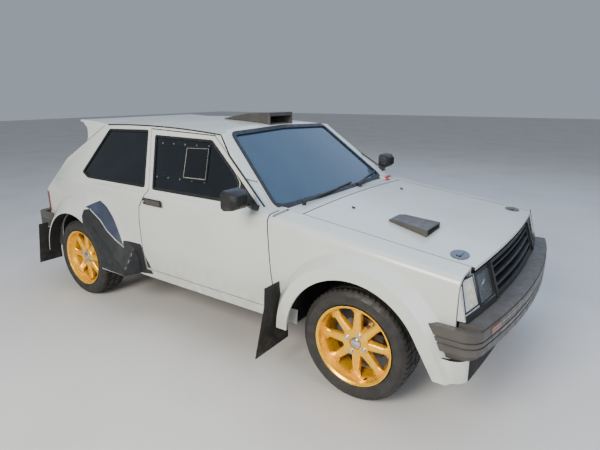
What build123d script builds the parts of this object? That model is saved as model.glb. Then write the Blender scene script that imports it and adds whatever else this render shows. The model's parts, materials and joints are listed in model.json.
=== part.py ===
"""Two-door hatchback rally car: wide arches, spoked wheels, roof scoop, bonnet duct, mud flaps and roll cage.

Millimetres. +X is forward, +Y the car's left, +Z up. The origin is on the ground midway between the axles.
One-sided pieces are built on the right, where y is negative, and mirrored to the left.
"""

import os
from math import atan2, cos, degrees, radians, sin

from build123d import *

os.makedirs("parts", exist_ok=True)

# Main sizes
wheelbase = 2300
half_length = 1815
front_axle_x = wheelbase / 2
rear_axle_x = -wheelbase / 2
floor_z = 290
gap = 6
skin = 10

# Wheels and tyres, 195/50R15 on 7 inch rims
tyre_r = 288
hub_z = tyre_r
rim_lip_r = 208
bead_r = 191
front_face_y = 752
rear_face_y = 776
spoke_count = 8

# Lower body
half_width = 757
crease_z = 495
bonnet_half = 600
bonnet_rear_x = 760
bonnet_rear_z = 861
bonnet_slope = -0.119
bonnet_sheet = 16
cowl_z = 869
nose_side_x = 1620
nose_centre_x = 1682
fender_front_x = 1634
fender_rear_x = 680
shoulder_r = 42
edge_fall = 7
crown = 16
belt_z = 888
lower_wall = 62
floor_wall = 25

# Greenhouse
green_base_z = 860
green_base_half = 739
green_top_z = 1330
tumble = 0.455
screen_base_x = 618
screen_bow = 32
screen_slope = 1.17
roof_peak_x = -600
roof_peak_z = 1306
roof_side_radius = 5000
roof_long_radius = 10000
pillar_wall = 40
glass = 5

# Tail
roof_end_x = -960
roof_end_z = 1279
tail_x = -1690
tail_half = 716
tail_corner_r = 95
tail_wall = 50

# Arch openings and flares
arch_z = 290
front_arch_x = front_axle_x + 15
front_arch_r = 360
rear_arch_r = 352
front_flare_y = 822
rear_flare_y = 832
flare_sheet = 12
lip_band = 62

# Kingpin, through the lower ball joint and the top of the strut
ball_joint = (front_axle_x, -600, 185)
strut_top = (front_axle_x - 10, -455, 800)

# Rear towing eye
tow_eye = (-1735, -300, 400)


def block(x0, x1, y0, y1, z0, z1):
    """Box between two corners."""
    with BuildPart() as solid:
        with BuildSketch(Plane.XY.offset(z0)):
            with Locations(((x0 + x1) / 2, (y0 + y1) / 2)):
                Rectangle(x1 - x0, y1 - y0)
        extrude(amount=z1 - z0)
    return solid.part


def prism(plane, points, depth, radius=0):
    """Outline drawn on a plane, its corners rounded, and extruded along the plane's normal."""
    with BuildPart() as solid:
        with BuildSketch(plane):
            with BuildLine():
                if radius:
                    FilletPolyline(*points, radius=radius, close=True)
                else:
                    Polyline(*points, close=True)
            make_face()
        extrude(amount=depth)
    return solid.part


def side_prism(points, near, far, radius=0):
    """Side-view outline between two distances to the right of the centre line."""
    return prism(Plane.XZ.offset(near), points, far - near, radius)


def drum(start, end, radius):
    """True round cylinder between two points, for shafts, bores and wheel wells."""
    run = Vector(*end) - Vector(*start)
    with BuildPart() as cylinder:
        with BuildSketch(Plane(origin=start, z_dir=run)):
            Circle(radius)
        extrude(amount=run.length)
    return cylinder.part


def rod(start, end, radius, sides=16):
    """Bar between two points, drawn with flats so that its faces stay few."""
    run = Vector(*end) - Vector(*start)
    with BuildPart() as bar:
        with BuildSketch(Plane(origin=start, z_dir=run)):
            RegularPolygon(radius, sides)
        extrude(amount=run.length)
    return bar.part


def eased(points, bend):
    """Points of a route with each inner corner cut back twice, to follow a bend of the given length."""
    corners = [Vector(*point) for point in points]
    route = [corners[0]]
    for before, corner, after in zip(corners, corners[1:], corners[2:]):
        start = corner + (before - corner).normalized() * bend
        end = corner + (after - corner).normalized() * bend
        route += [start, (start + corner * 1.5 + end) / 3.5, end]
    return [*route, corners[-1]]


def tube(points, radius, bend):
    """Bar along straight runs with mitred bends."""
    with BuildPart() as bar:
        with BuildLine() as path:
            Polyline(*eased(points, bend))
        with BuildSketch(Plane(origin=path.line @ 0, z_dir=path.line % 0)):
            RegularPolygon(radius, 12)
        sweep(transition=Transition.RIGHT)
    return bar.part


def faceted(levels, sides):
    """Turned form about the wheel's axis, from levels of outward position and radius."""
    with BuildPart() as form:
        for out, radius in levels:
            with BuildSketch(Plane.XZ.offset(out)):
                RegularPolygon(radius, sides, major_radius=False, rotation=90 + 180 / sides)
        loft(ruled=True)
    return form.part


def joined(*pieces):
    """One piece from several that touch."""
    with BuildPart() as whole:
        for piece in pieces:
            add(piece)
    return whole.part


def both_sides(piece):
    """The piece and its mirror image across the centre line."""
    with BuildPart() as pair:
        add(piece)
        mirror(piece, about=Plane.XZ)
    return pair.part


def lower_body(inset, base, lift=0):
    """Lower body without the greenhouse; inset moves its sides in, base its underside up and lift its top."""
    # columns: station x, half width at sill, crease and side, height of the top edge
    stations = [
        (1790, 720, 744, 745, bonnet_rear_z + bonnet_slope * (1790 - bonnet_rear_x)),
        (640, 727, half_width, half_width, bonnet_rear_z + bonnet_slope * (640 - bonnet_rear_x) + 4),
        (-900, 727, half_width, half_width, belt_z + 2),
        (-1790, 694, tail_half, tail_half, belt_z + 2),
    ]
    bottom = floor_z + base
    with BuildPart() as body:
        for x, sill, crease, side, edge in stations:
            s, c, w, e = sill - inset, crease - inset, side - inset, edge - inset + lift
            low = e - edge_fall - shoulder_r
            turn = [radians(22.5 * step) for step in range(5)]
            shoulder = [(w - shoulder_r + shoulder_r * cos(a), low + shoulder_r * sin(a)) for a in turn]
            mirrored = [(-y, z) for y, z in reversed(shoulder)]
            mid_z = (crease_z + low) / 2
            with BuildSketch(Plane.YZ.offset(x)):
                with BuildLine():
                    Polyline((-c, crease_z), (-s, bottom), (s, bottom), (c, crease_z))
                    ThreePointArc((c, crease_z), (w + 5, mid_z), (w, low))
                    Polyline(*shoulder)
                    ThreePointArc(shoulder[-1], (0, e + crown), mirrored[0])
                    Polyline(*mirrored)
                    ThreePointArc((-w, low), (-w - 5, mid_z), (-c, crease_z))
                make_face()
        loft(ruled=True)
    return body.part


def greenhouse(inset):
    """Glasshouse frustum under a crowned roof, its skin moved inwards by inset."""
    height = green_top_z - green_base_z
    slant = inset * 1.1
    screen_in = inset * 1.52
    crown_sweep = 2 * degrees(atan2(2000, roof_long_radius))
    axis = Axis((roof_peak_x, 0, roof_peak_z - roof_long_radius), (0, 1, 0))
    sag = roof_side_radius - (roof_side_radius**2 - 900**2) ** 0.5
    top = roof_peak_z - inset * 0.7
    with BuildPart() as cap:
        with BuildSketch(Plane.YZ.offset(roof_peak_x)):
            with BuildLine():
                ThreePointArc((-900, top - sag), (0, top), (900, top - sag))
                Polyline((900, top - sag), (900, 600), (-900, 600), (-900, top - sag))
            make_face()
        revolve(axis=axis, revolution_arc=crown_sweep)
    turned = cap.part.rotate(axis, -crown_sweep / 2)
    with BuildPart() as house:
        for z in (green_base_z, green_base_z + height):
            up = z - green_base_z
            half = green_base_half - tumble * up - slant
            front = screen_base_x - screen_slope * up - screen_in
            rear = tail_x - 60 + up * 0.2
            with BuildSketch(Plane.XY.offset(z)):
                with BuildLine():
                    ThreePointArc((front, -half), (front + screen_bow, 0), (front, half))
                    Polyline((front, half), (rear, half), (rear, -half), (front, -half))
                make_face()
        loft(ruled=True)
        add(turned, mode=Mode.INTERSECT)
    return house.part


def trimmed(solid, inset):
    """The solid cut to the tail's side profile, the plan of nose and tail, and the cut-off pillar corners."""
    half = half_width + 60
    rear = tail_x + inset
    roof_rear = (roof_end_x + inset, roof_end_z - inset * 0.6)
    with BuildPart() as cut:
        add(solid)
        with BuildSketch(Plane.XZ.offset(-1000)):
            with BuildLine():
                head = Polyline((2200, 100), (2200, 1500), (roof_end_x + inset, 1500), roof_rear)
                hatch = Line(head @ 1, (-1428 + inset, 965 - inset * 0.3))
                bend = ThreePointArc(hatch @ 1, (-1580 + inset, 820), (-1655 + inset, 700))
                foot = Polyline(bend @ 1, (rear, 560), (rear, 380), (-1600 + inset, 288))
                Polyline(foot @ 1, (-1600 + inset, 100), (2200, 100))
            make_face()
        extrude(amount=2000, mode=Mode.INTERSECT)
        with BuildSketch(Plane.XY):
            with BuildLine():
                ThreePointArc((nose_side_x, -half), (nose_centre_x, 0), (nose_side_x, half))
                Polyline((nose_side_x, half), (-1300, half), (-1300, half_width - inset))
                FilletPolyline(
                    (-1300, half_width - inset),
                    (rear, tail_half - inset),
                    (rear, inset - tail_half),
                    (-1300, inset - half_width),
                    radius=tail_corner_r - inset * 0.5,
                )
                Polyline((-1300, inset - half_width), (-1300, -half), (nose_side_x, -half))
            make_face()
        extrude(amount=1600, mode=Mode.INTERSECT)
        for side in (-1, 1):
            lean = Vector(-0.435, 0.673 * side, 0.597)
            with BuildSketch(Plane(origin=Vector(-1418, 680 * side, 958) - lean * inset, z_dir=lean)):
                Rectangle(900, 900)
            extrude(amount=200, mode=Mode.SUBTRACT)
    return cut.part


def master(low, high, end, base, lift):
    """Whole body form, moved inwards by low at the sides, high at the pillars and end at the tail."""
    return trimmed(lower_body(low, base, lift).fuse(greenhouse(high)), end)


outer = master(0, 0, 0, 0, 0)
cabin_form = master(lower_wall, pillar_wall, tail_wall, floor_wall, 54)
glass_outer = greenhouse(5)
glass_inner = greenhouse(5 + glass)
fender_inner = lower_body(skin, skin)


# Openings in the skin, side view (x, z)
door_outline = [
    (672, 352), (672, 484), (662, 570), (641, 880), (604, 893), (113, 1231), (-470, 1250), (-338, 896),
    (-355, 850), (-405, 780), (-415, 700), (-415, 352),
]
door_gap_outline = [
    (672 + gap, 352 - gap), (672 + gap, 484), (662 + gap, 570), (641 + gap, 885), (607, 900), (117, 1238),
    (-479, 1257), (-345, 896), (-355 - gap, 852), (-405 - gap, 783), (-415 - gap, 702),
    (-415 - gap, 352 - gap),
]
door_glass_outline = [(-420, 1216), (-308, 893), (415, 892), (393, 1000), (346, 1045), (102, 1208)]
quarter_outline = [(-930, 1236), (-1115, 932), (-1030, 900), (-384, 897), (-500, 1244)]

# Front view (y, z)
screen_outline = [
    (-620, 886), (-486, 1242), (0, 1258), (486, 1242), (620, 886), (540, cowl_z), (-540, cowl_z),
]
tailgate_outline = [(-505, 1330), (-525, 1235), (-628, 965), (-636, 790), (-500, 742), (-500, 600)]
tailgate_outline += [(-y, z) for y, z in reversed(tailgate_outline)]
tailgate_gap_outline = [(-515, 1330), (-534, 1235), (-637, 967), (-644, 785), (-507, 737), (-507, 593)]
tailgate_gap_outline += [(-y, z) for y, z in reversed(tailgate_gap_outline)]
tailgate_frame_outline = [(-483, 1330), (-503, 1235), (-606, 965), (-614, 800), (-478, 764), (-478, 600)]
tailgate_frame_outline += [(-y, z) for y, z in reversed(tailgate_frame_outline)]
# Plan view (x, y)
hatch_glass_outline = [(-1045, -470), (-1350, -560), (-1350, 560), (-1045, 470)]


def side_slab(shift):
    """Zone of the right-hand side wall, its inner face following the glasshouse's lean."""
    lean = [(-900, 300), (-650 + shift, 300), (-650 + shift, 890), (-484 + shift, 1255), (-484 + shift, 1300)]
    return prism(Plane.YZ.offset(-500), [*lean, (-900, 1300)], 1300)


def front_arch():
    """Side-view cut of the front wheel opening."""
    with BuildPart() as cut:
        with BuildSketch(Plane.XZ.offset(560)):
            with BuildLine():
                left = front_arch_x - front_arch_r
                Line((left, 200), (left, arch_z))
                ThreePointArc((left, arch_z), (front_arch_x, arch_z + front_arch_r), (1481, 462))
                Polyline((1481, 462), (1575, 300), (1640, 200), (left, 200))
            make_face()
        extrude(amount=360)
    return cut.part


def front_flare():
    """Solid form of the front wheel arch flare, a flat band round the opening and a ramp to the wing."""
    reach = front_arch_r + lip_band
    spread = 58
    with BuildPart() as form:
        for y, grow in ((front_flare_y - 82, spread), (front_flare_y, 0)):
            r = reach + grow
            left = front_arch_x - r
            with BuildSketch(Plane.XZ.offset(y)):
                with BuildLine():
                    Line((left, 300), (left, arch_z + 15))
                    ThreePointArc(
                        (left, arch_z + 15),
                        (front_arch_x - r * 0.05, arch_z + r),
                        (front_arch_x + r * 0.875, arch_z + r * 0.475),
                    )
                    Polyline(
                        (front_arch_x + r * 0.875, arch_z + r * 0.475), (1630 + grow * 0.8, 300), (left, 300)
                    )
                make_face()
        loft(ruled=True)
    return form.part


def rear_flare():
    """Solid form of the rear flare: a blister with a sharp diagonal fold ahead of the wheel."""
    # columns: x and z on the body side, x and z on the outer face
    legs = [
        (-1244, 738, -1150, 648),
        (-985, 828, -955, 650),
        (-828, 832, -930, 634),
        (-606, 574, -568, 345),
        (-505, 500, -540, 322),
        (-500, 296, -540, 296),
    ]
    with BuildPart() as form:
        for y, first, start, middle in (
            (rear_flare_y - 82, 0, (-1560, 296), (-1485, 610)),
            (rear_flare_y, 2, (-1508, 296), (-1404, 548)),
        ):
            points = [row[first : first + 2] for row in legs]
            with BuildSketch(Plane.XZ.offset(y)):
                with BuildLine():
                    ThreePointArc(start, middle, points[0])
                    Polyline(*points, start)
                make_face()
        loft(ruled=True)
    return form.part


# Body shell
def inner_wing():
    """Right inner wing, chassis rail, strut tower and splash panel in front of the bulkhead."""
    x, y, _ = strut_top
    front = 1590
    section = [
        (-405, 320), (-330, 320), (-330, 410), (-391, 410), (-391, 640), (-594, 655), (-594, 900),
        (-606, 900), (-606, 643), (-405, 628),
    ]
    cross_beam = block(front - 40, front, -600, -330, 321, 640)
    splash_panel = block(790, 800, -780, -395, 296, 900) - block(785, 805, -618, -600, 770, 900)
    tower = rod((x, y, 640), (x, y, 790), 88)
    room = rod((x, y - 6, 560), (x, y - 6, 778), 76)
    rod_hole = rod((x, y, 560), (x, y, 860), 26)
    stations = (640, front + 30)
    under_bonnet = [(at, bonnet_rear_z + bonnet_slope * (at - bonnet_rear_x) - 34) for at in stations]
    cap = side_prism([(640, 300), *under_bonnet, (front + 30, 300)], 0, 900)
    wing = prism(Plane.YZ.offset(650), section, front - 650)
    panels = joined(wing, cross_beam, splash_panel & fender_inner, tower)
    return (panels - room - rod_hole) & cap


lamp_zone = block(-1730, -1600, -760, -512, 584, 740)
lamp_pocket = lamp_zone - outer.moved(Location((34, 24, 0)))


def make_tail_lamps():
    """Tail lamp clusters that wrap round the rear corners and stand a little proud."""
    return both_sides(outer.moved(Location((-5, -3, 0))) & lamp_pocket)


def make_body_shell():
    """Welded shell in one: floor, sills, posts, roof, bulkhead, rear quarters and front structure."""
    cabin = cabin_form & block(-1612, 635, -800, 800, 300, 1400)
    cowl = outer & block(640, bonnet_rear_x, -603, 603, 200, 1400)
    cowl = cowl - block(664, bonnet_rear_x + 5, -590, 590, 280, 800)
    wing = inner_wing()
    radiator_panel = block(1578, 1596, -604, 604, 330, 722) - block(1560, 1600, -320, 320, 380, 650)
    shell = joined(outer & block(-1700, 660, -900, 900, 200, 1400), cowl) - cabin
    shell = joined(shell, wing)
    shell = joined(shell, mirror(wing, about=Plane.XZ))
    shell = joined(shell, radiator_panel)
    tunnel = prism(Plane.YZ.offset(-780), [(-125, 300), (-95, 470), (95, 470), (125, 300)], 1430)
    rear_floor = block(-1645, -780, -700, 700, 300, 480)
    shell = joined(shell, joined(tunnel, rear_floor) & cabin)
    tub = drum((rear_axle_x, -532, arch_z), (rear_axle_x, -750, arch_z), rear_arch_r + 12)
    shell = joined(shell, both_sides(tub & outer))
    shell = joined(shell, both_sides(rear_flare() - outer))
    well = drum((rear_axle_x, -545, arch_z), (rear_axle_x, -870, arch_z), rear_arch_r)
    tailgate_zone = block(-1750, roof_end_x, -700, 700, 585, 1400)
    cuts = [
        both_sides(side_prism(door_gap_outline, 480, 900) & side_slab(gap)),
        both_sides(side_prism(quarter_outline, 480, 900, 14)),
        both_sides(well),
        prism(Plane.YZ.offset(-20), screen_outline, 700, 30) - block(-60, 140, -700, 700, 800, 1200),
        prism(Plane.YZ.offset(-1750), tailgate_gap_outline, 1750 + roof_end_x) & tailgate_zone,
        block(600, 754, -590, 590, cowl_z, 960),
        prism(Plane.YZ.offset(-810), [(-110, 280), (-82, 455), (82, 455), (110, 280)], 1490),
        block(-1560, -800, -530, 530, 280, 462),
        both_sides(block(rear_axle_x - 60, rear_axle_x + 60, -560, -515, 280, 400)),
        both_sides(lamp_pocket),
    ]
    for cut in cuts:
        shell = shell - cut
    eye_x, eye_y, eye_z = tow_eye
    eye = block(eye_x - 25, tail_x + 4, eye_y - 6, eye_y + 6, eye_z - 25, eye_z + 25)
    eye = eye - drum((eye_x, eye_y - 10, eye_z), (eye_x, eye_y + 10, eye_z), 15)
    jacking_pads = both_sides(block(150, 250, -705, -665, floor_z - 15, floor_z))
    return joined(shell, eye, jacking_pads)


def save(piece, name):
    """Label a finished piece and write it as its own file."""
    piece.label = name
    export_step(piece, f"parts/{name}.step")


def save_pair(piece, name):
    """Write the right-hand piece and its mirror image for the left."""
    save(piece, f"{name}_right")
    save(mirror(piece, about=Plane.XZ), f"{name}_left")


# Zones where the shell is divided into its panels
panel_zones = {
    "front_structure": block(634, 1700, -900, 900, 100, 1400),
    "tail_panel": block(-1900, -1600, -900, 900, 100, 1400),
    "floor_pan": joined(block(-780, 634, -640, 640, 100, 485), block(-1600, -780, -532, 532, 100, 485)),
    "roof_panel": joined(
        block(-1600, 634, -700, 700, 1236, 1400), block(roof_end_x, -880, -540, 540, 1180, 1236)
    ),
}
shell_left = make_body_shell()
for panel, zone in panel_zones.items():
    save(shell_left & zone, panel)
    shell_left = shell_left - zone
save(shell_left, "body_sides")


# Front wings, bolted on
def make_fender():
    """Right front wing: a skin with a turned-down inner edge and a flared arch."""
    zone = block(fender_rear_x, fender_front_x, -900, -bonnet_half - gap, 296, 900)
    sheet = (outer - fender_inner) & zone
    flange = (outer - outer.moved(Location((0, 0, -46)))) & block(
        fender_rear_x + 20, fender_front_x, -bonnet_half - gap - 8, -bonnet_half - gap, 600, 900
    )
    flare = front_flare()
    hollow = flare.moved(Location((0, flare_sheet, 0)))
    flare_part = (flare - fender_inner) & block(fender_rear_x, 1700, -900, -640, 296, 900)
    whole = joined(sheet, flange, flare_part)
    return whole - hollow - front_arch()


save_pair(make_fender(), "fender")


# Doors
def make_door():
    """Right door with its window frame, flap handle and mirror plinth."""
    wall = (outer - cabin_form) & side_prism(door_outline, 480, 900) & side_slab(0)
    glass_cut = side_prism(door_glass_outline, 480, 900, 16)
    handle = side_prism([(-346, 814), (-342, 843), (-184, 840), (-180, 811)], 740, 768)
    with BuildPart() as door:
        add(wall)
        add(glass_cut, mode=Mode.SUBTRACT)
        add(handle)
    return door.part


def make_door_window():
    """Fixed plastic side window with a raised frame round its sliding pane."""
    pane = (glass_outer - glass_inner) & side_prism(door_glass_outline, 480, 900, 16)
    outline = side_prism([(-111, 1168), (100, 1173), (141, 977), (-76, 974)], 480, 900)
    inside = side_prism([(-98, 1156), (90, 1161), (128, 989), (-63, 986)], 480, 900)
    rail = (greenhouse(1) - glass_outer) & (outline - inside)
    return joined(pane, rail)


def corner_cut(centre, wide, high, corner):
    """Rectangle with cut corners, as points round its centre."""
    y, z = centre
    quarter = [(wide, high - corner), (wide - corner, high)]
    right = [(y + a, z + b) for a, b in quarter] + [(y - a, z + b) for a, b in reversed(quarter)]
    return right + [(y - a, z - b) for a, b in quarter] + [(y + a, z - b) for a, b in reversed(quarter)]


def make_mirror():
    """Right door mirror: a moulded head on a short arm."""
    centre = (-866, 959)
    # columns: station x, half width, half height
    sections = [(505, 76, 52), (560, 68, 46), (582, 44, 28)]
    with BuildPart() as head:
        for x, wide, high in sections:
            with BuildSketch(Plane.YZ.offset(x)):
                with BuildLine():
                    Polyline(*corner_cut(centre, wide, high, 18), close=True)
                make_face()
        loft(ruled=True)
        with BuildSketch(Plane.YZ.offset(504)):
            with BuildLine():
                Polyline(*corner_cut(centre, 67, 43, 14), close=True)
            make_face()
        extrude(amount=8, mode=Mode.SUBTRACT)
    arm = prism(Plane.YZ.offset(528), [(-700, 900), (-800, 936), (-800, 918), (-720, 872), (-700, 872)], 40)
    return joined(head.part, arm - outer)


save_pair(make_door(), "door")
save_pair(make_door_window(), "door_window")
save_pair(make_mirror(), "mirror")


# Fixed glass
def make_windscreen():
    """Laminated screen, curved in plan."""
    return (glass_outer - glass_inner) & prism(Plane.YZ.offset(60), screen_outline, 620, 30)


def make_quarter_windows():
    """Fixed rear side windows."""
    return both_sides((glass_outer - glass_inner) & side_prism(quarter_outline, 480, 900, 14))


save(make_windscreen(), "windscreen")
save(make_quarter_windows(), "quarter_windows")


# Bonnet
def make_bonnet():
    """Bonnet sheet with a rear edge that follows the cowl."""
    zone = block(bonnet_rear_x + gap, 1700, -bonnet_half, bonnet_half, 700, 950)
    return (outer - outer.moved(Location((0, 0, -bonnet_sheet)))) & zone


def make_bonnet_duct():
    """Forward-facing air duct on the right of the bonnet, open at the front."""
    duct = prism(
        Plane.XY.offset(780), [(1140, -370), (1140, -240), (1370, -250), (1370, -440)], 120
    )
    with BuildPart() as top:
        with BuildSketch(Plane.XZ.offset(200)):
            with BuildLine():
                Polyline((1136, 700), (1136, 838), (1180, 846), (1372, 834), (1372, 700), close=True)
            make_face()
        extrude(amount=260)
    shape = (duct & top.part) - outer
    mouth = block(1200, 1400, -424, -262, 700, 828) - outer.moved(Location((0, 0, 3)))
    return shape - (mouth & prism(Plane.XY.offset(780), [(1160, -300), (1372, -264), (1372, -426)], 120))


save(make_bonnet(), "bonnet")
save(make_bonnet_duct(), "bonnet_duct")


# Tailgate
def make_tailgate():
    """Tailgate: an outer skin with a thick inner frame, set in from its edges so that it swings clear."""
    top_x = roof_end_x - gap - 1
    skin_zone = prism(Plane.YZ.offset(-1750), tailgate_outline, 1750 + top_x)
    frame_zone = prism(Plane.YZ.offset(-1750), tailgate_frame_outline, 1750 + top_x - 23)
    sheet = (outer - outer.moved(Location((6, 0, -8)))) & skin_zone
    frame = (outer - cabin_form) & frame_zone
    glass_cut = prism(Plane.XY.offset(900), hatch_glass_outline, 500, 40)
    return joined(sheet, frame) - glass_cut


def make_tailgate_window():
    """Rear screen set in the tailgate."""
    sheet = outer.moved(Location((4, 0, -5))) - outer.moved(Location((8, 0, -9)))
    return sheet & prism(Plane.XY.offset(960), hatch_glass_outline, 320, 40)


def make_roof_spoiler():
    """Lip spoiler on the tailgate's upper edge, with fins that carry on the line of the body sides."""
    section = [
        (-1012, 1240), (-1008, 1266), (-1120, 1282), (-1330, 1291), (-1326, 1277), (-1140, 1262),
        (-1066, 1216),
    ]
    side = [
        (-1010, 1240), (-1172, 1140), (-1165, 1163), (-1186, 1203), (-1215, 1237), (-1322, 1291),
        (-1012, 1274),
    ]
    lean = [(green_base_half - tumble * (z - green_base_z), z) for z in (1120, 1300)]
    wall = [(-y, z) for y, z in lean] + [(16 - y, z) for y, z in reversed(lean)]
    blade = prism(Plane.XZ.offset(-545), section, 1090)
    fin = side_prism(side, 480, 640) & prism(Plane.YZ.offset(-1400), wall, 420)
    clearance = outer.moved(Location((-4, 0, 6))) & both_sides(block(-1400, -980, -700, -498, 1100, 1400))
    return joined(blade, both_sides(fin)) - outer - clearance


save(make_tailgate(), "tailgate")
save(make_tailgate_window(), "tailgate_window")
save(make_roof_spoiler(), "roof_spoiler")


# Roof scoop
def make_roof_scoop():
    """Roof vent with a thick upper lip over its wide mouth."""
    half_plan = [(-273, 90), (60, 106), (166, 132)]
    half_room = [(-180, 76), (60, 92), (190, 120)]
    plan_points = half_plan + [(x, -y) for x, y in reversed(half_plan)]
    room_points = half_room + [(x, -y) for x, y in reversed(half_room)]
    side = [(-275, 1240), (-273, 1306), (-60, 1342), (60, 1350), (166, 1350), (176, 1240)]
    room_side = [(-260, 1200), (-180, 1306), (-60, 1322), (60, 1328), (190, 1328), (190, 1200)]
    shape = prism(Plane.XY.offset(1240), plan_points, 120, 8) & prism(Plane.XZ.offset(-200), side, 400)
    room = prism(Plane.XY.offset(1240), room_points, 120) & prism(Plane.XZ.offset(-200), room_side, 400)
    return shape - outer - (room - outer.moved(Location((0, 0, 4))))


save(make_roof_scoop(), "roof_scoop")


# Nose: lamps and grille on a raked plane between the wings
lamp_top_z = 726
nose_columns = [(560, 1732, 1668), (740, 1668, 1625)]


def nose_form(inset):
    """Raked nose between the bonnet and the bumper, rounded in plan, its skin moved back by inset."""
    back = 1596
    with BuildPart() as form:
        for z, centre, side in nose_columns:
            with BuildSketch(Plane.XY.offset(z)):
                with BuildLine():
                    corner = side - inset
                    ThreePointArc((corner, -748), (centre - inset, 0), (corner, 748))
                    Polyline((corner, 748), (back, 748), (back, -748), (corner, -748))
                make_face()
        loft(ruled=True)
    return form.part


nose = nose_form(0)
nose_back = nose_form(14)


def make_headlamps():
    """Rectangular headlamp units in dark frames with a raised rib on the inner side."""
    body = nose & block(1596, 1800, -600, -405, 566, lamp_top_z)
    lens = block(1600, 1800, -578, -430, 586, lamp_top_z - 16)
    rib = nose.moved(Location((12, 0, 0))) & block(1640, 1800, -427, -409, 568, lamp_top_z - 2)
    return both_sides(joined(body - (lens - nose_back), rib))


def make_corner_lamps():
    """Clear side lamps that wrap round the wing's corner."""
    return both_sides(nose & block(fender_front_x, 1800, -760, -604, 566, lamp_top_z) & lower_body(0, 0))


def make_grille():
    """Grille frame with two broad horizontal bars and a thin one."""
    frame = nose & block(1596, 1800, -401, 401, 566, lamp_top_z)
    opening = block(1640, 1800, -380, 380, 584, lamp_top_z - 14)
    with BuildPart() as grille:
        add(frame)
        add(opening, mode=Mode.SUBTRACT)
        for z, thick in ((607, 11), (648, 11), (689, 6)):
            add(nose & block(1636, 1800, -382, 382, z, z + thick))
    return grille.part


save(make_headlamps(), "headlamps")
save(make_corner_lamps(), "corner_lamps")
save(make_grille(), "grille")


# Bumpers and front spoiler
def bumper_plan(tip, corner, side_y, end_x, depth, direction):
    """Plan outline of a wrap-round bumper: centre tip, corner and side end, hollow behind."""
    end_x, tip = direction * end_x, direction * tip
    bend, knee, face = [direction * (corner + step) for step in (-60, -8, 18)]
    back, tip_back = face - direction * depth, tip - direction * depth
    inner_y = side_y - depth * 0.5
    with BuildSketch(Plane.XY) as plan:
        with BuildLine():
            side_run = Line((end_x, -side_y), (bend, -side_y))
            near = ThreePointArc(side_run @ 1, (knee, 22 - side_y), (face, 76 - side_y))
            front = ThreePointArc(near @ 1, (tip, 0), (face, side_y - 76))
            far = ThreePointArc(front @ 1, (knee, side_y - 22), (bend, side_y))
            end = Polyline(far @ 1, (end_x, side_y), (end_x, inner_y), (bend, inner_y), (back, side_y - 90))
            rear = ThreePointArc(end @ 1, (tip_back, 0), (back, 90 - side_y))
            Polyline(rear @ 1, (bend, -inner_y), (end_x, -inner_y), (end_x, -side_y))
        make_face()
    return plan.sketch


def bar(plan, low, high):
    """A plan outline extruded between two heights."""
    with BuildPart() as solid:
        with BuildSketch(Plane.XY.offset(low)):
            add(plan)
        extrude(amount=high - low)
    return solid.part


def make_front_bumper():
    """Moulded front bumper with two grooves round its face and a shelf that reaches back to the nose."""
    full = bumper_plan(half_length, 1728, 792, 1510, 70, 1)
    grooved = bumper_plan(half_length - 5, 1723, 787, 1510, 60, 1)
    lower = bumper_plan(half_length - 22, 1706, 776, 1530, 46, 1)
    layers = [(full, 434, 466), (grooved, 466, 473), (full, 473, 492), (grooved, 492, 499), (full, 499, 542)]
    shelf = bar(bumper_plan(half_length - 5, 1723, 787, 1510, 120, 1), 524, 558)
    shelf = shelf & block(1642, 1900, -745, 745, 500, 600)
    brackets = both_sides(block(1596, 1760, -400, -345, 440, 490))
    whole = joined(bar(lower, 404, 434), *[bar(*layer) for layer in layers], shelf, brackets)
    return whole - both_sides(front_flare())


def make_front_spoiler():
    """Painted air dam under the bumper, ending at the feet of the front flares."""
    dam = bar(bumper_plan(1728, 1683, 800, 1570, 30, 1), 300, 404)
    return dam - both_sides(front_flare()) - both_sides(front_arch())


def make_rear_bumper():
    """Moulded rear bumper."""
    full = bumper_plan(half_length, 1735, 775, 1510, 62, -1)
    grooved = bumper_plan(half_length - 5, 1730, 770, 1510, 52, -1)
    layers = [(full, 466, 492), (grooved, 492, 499), (full, 499, 516), (grooved, 516, 523), (full, 523, 575)]
    brackets = both_sides(block(-1765, tail_x, -400, -345, 470, 520))
    return joined(*[bar(*layer) for layer in layers], brackets) - both_sides(rear_flare())


save(make_front_bumper(), "front_bumper")
save(make_front_spoiler(), "front_spoiler")
save(make_rear_bumper(), "rear_bumper")


save(make_tail_lamps(), "tail_lamps")


# Wheels and tyres, made about their own centre with the outer face towards -Y
rim_half = 95
rim_sides = 32
tyre_sides = 48
hub_face = 58


def make_wheel():
    """Eight-spoke alloy wheel with its hub, four nuts and the brake disc that turns with it."""
    barrel = faceted(
        [
            (-rim_half, rim_lip_r - 1), (-86, bead_r + 2), (-50, bead_r), (-28, 174), (28, 174), (50, bead_r),
            (86, bead_r + 2), (rim_half, rim_lip_r - 1),
        ],
        rim_sides,
    )
    bore_levels = [(-rim_half, 197), (-52, 182), (-30, 166), (32, 166), (54, 182), (rim_half, 197)]
    bore = faceted(bore_levels, rim_sides)
    disc = faceted([(-27, 114), (-16, 114)], rim_sides)
    hub = faceted([(-16, 72), (24, 66), (hub_face, 66), (hub_face + 10, 52)], 24)
    recess = drum((0, 8 - hub_face, 0), (0, -hub_face - 12, 0), 32)
    with BuildPart() as spokes:
        with BuildSketch(Plane.XZ.offset(24)):
            with PolarLocations(0, spoke_count):
                with BuildLine():
                    Polyline((50, -19), (110, -13), (176, -24), (176, 24), (110, 13), (50, 19), close=True)
                make_face()
        extrude(amount=24)
        with BuildSketch(Plane.XZ.offset(44)):
            with PolarLocations(114, spoke_count):
                Rectangle(128, 11)
        extrude(amount=18)
    with BuildPart() as nuts:
        with BuildSketch(Plane.XZ.offset(hub_face)):
            with PolarLocations(45, 4):
                RegularPolygon(10, 6)
        extrude(amount=20)
    return joined(barrel - bore, disc, hub - recess, spokes.part, nuts.part)


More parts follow.
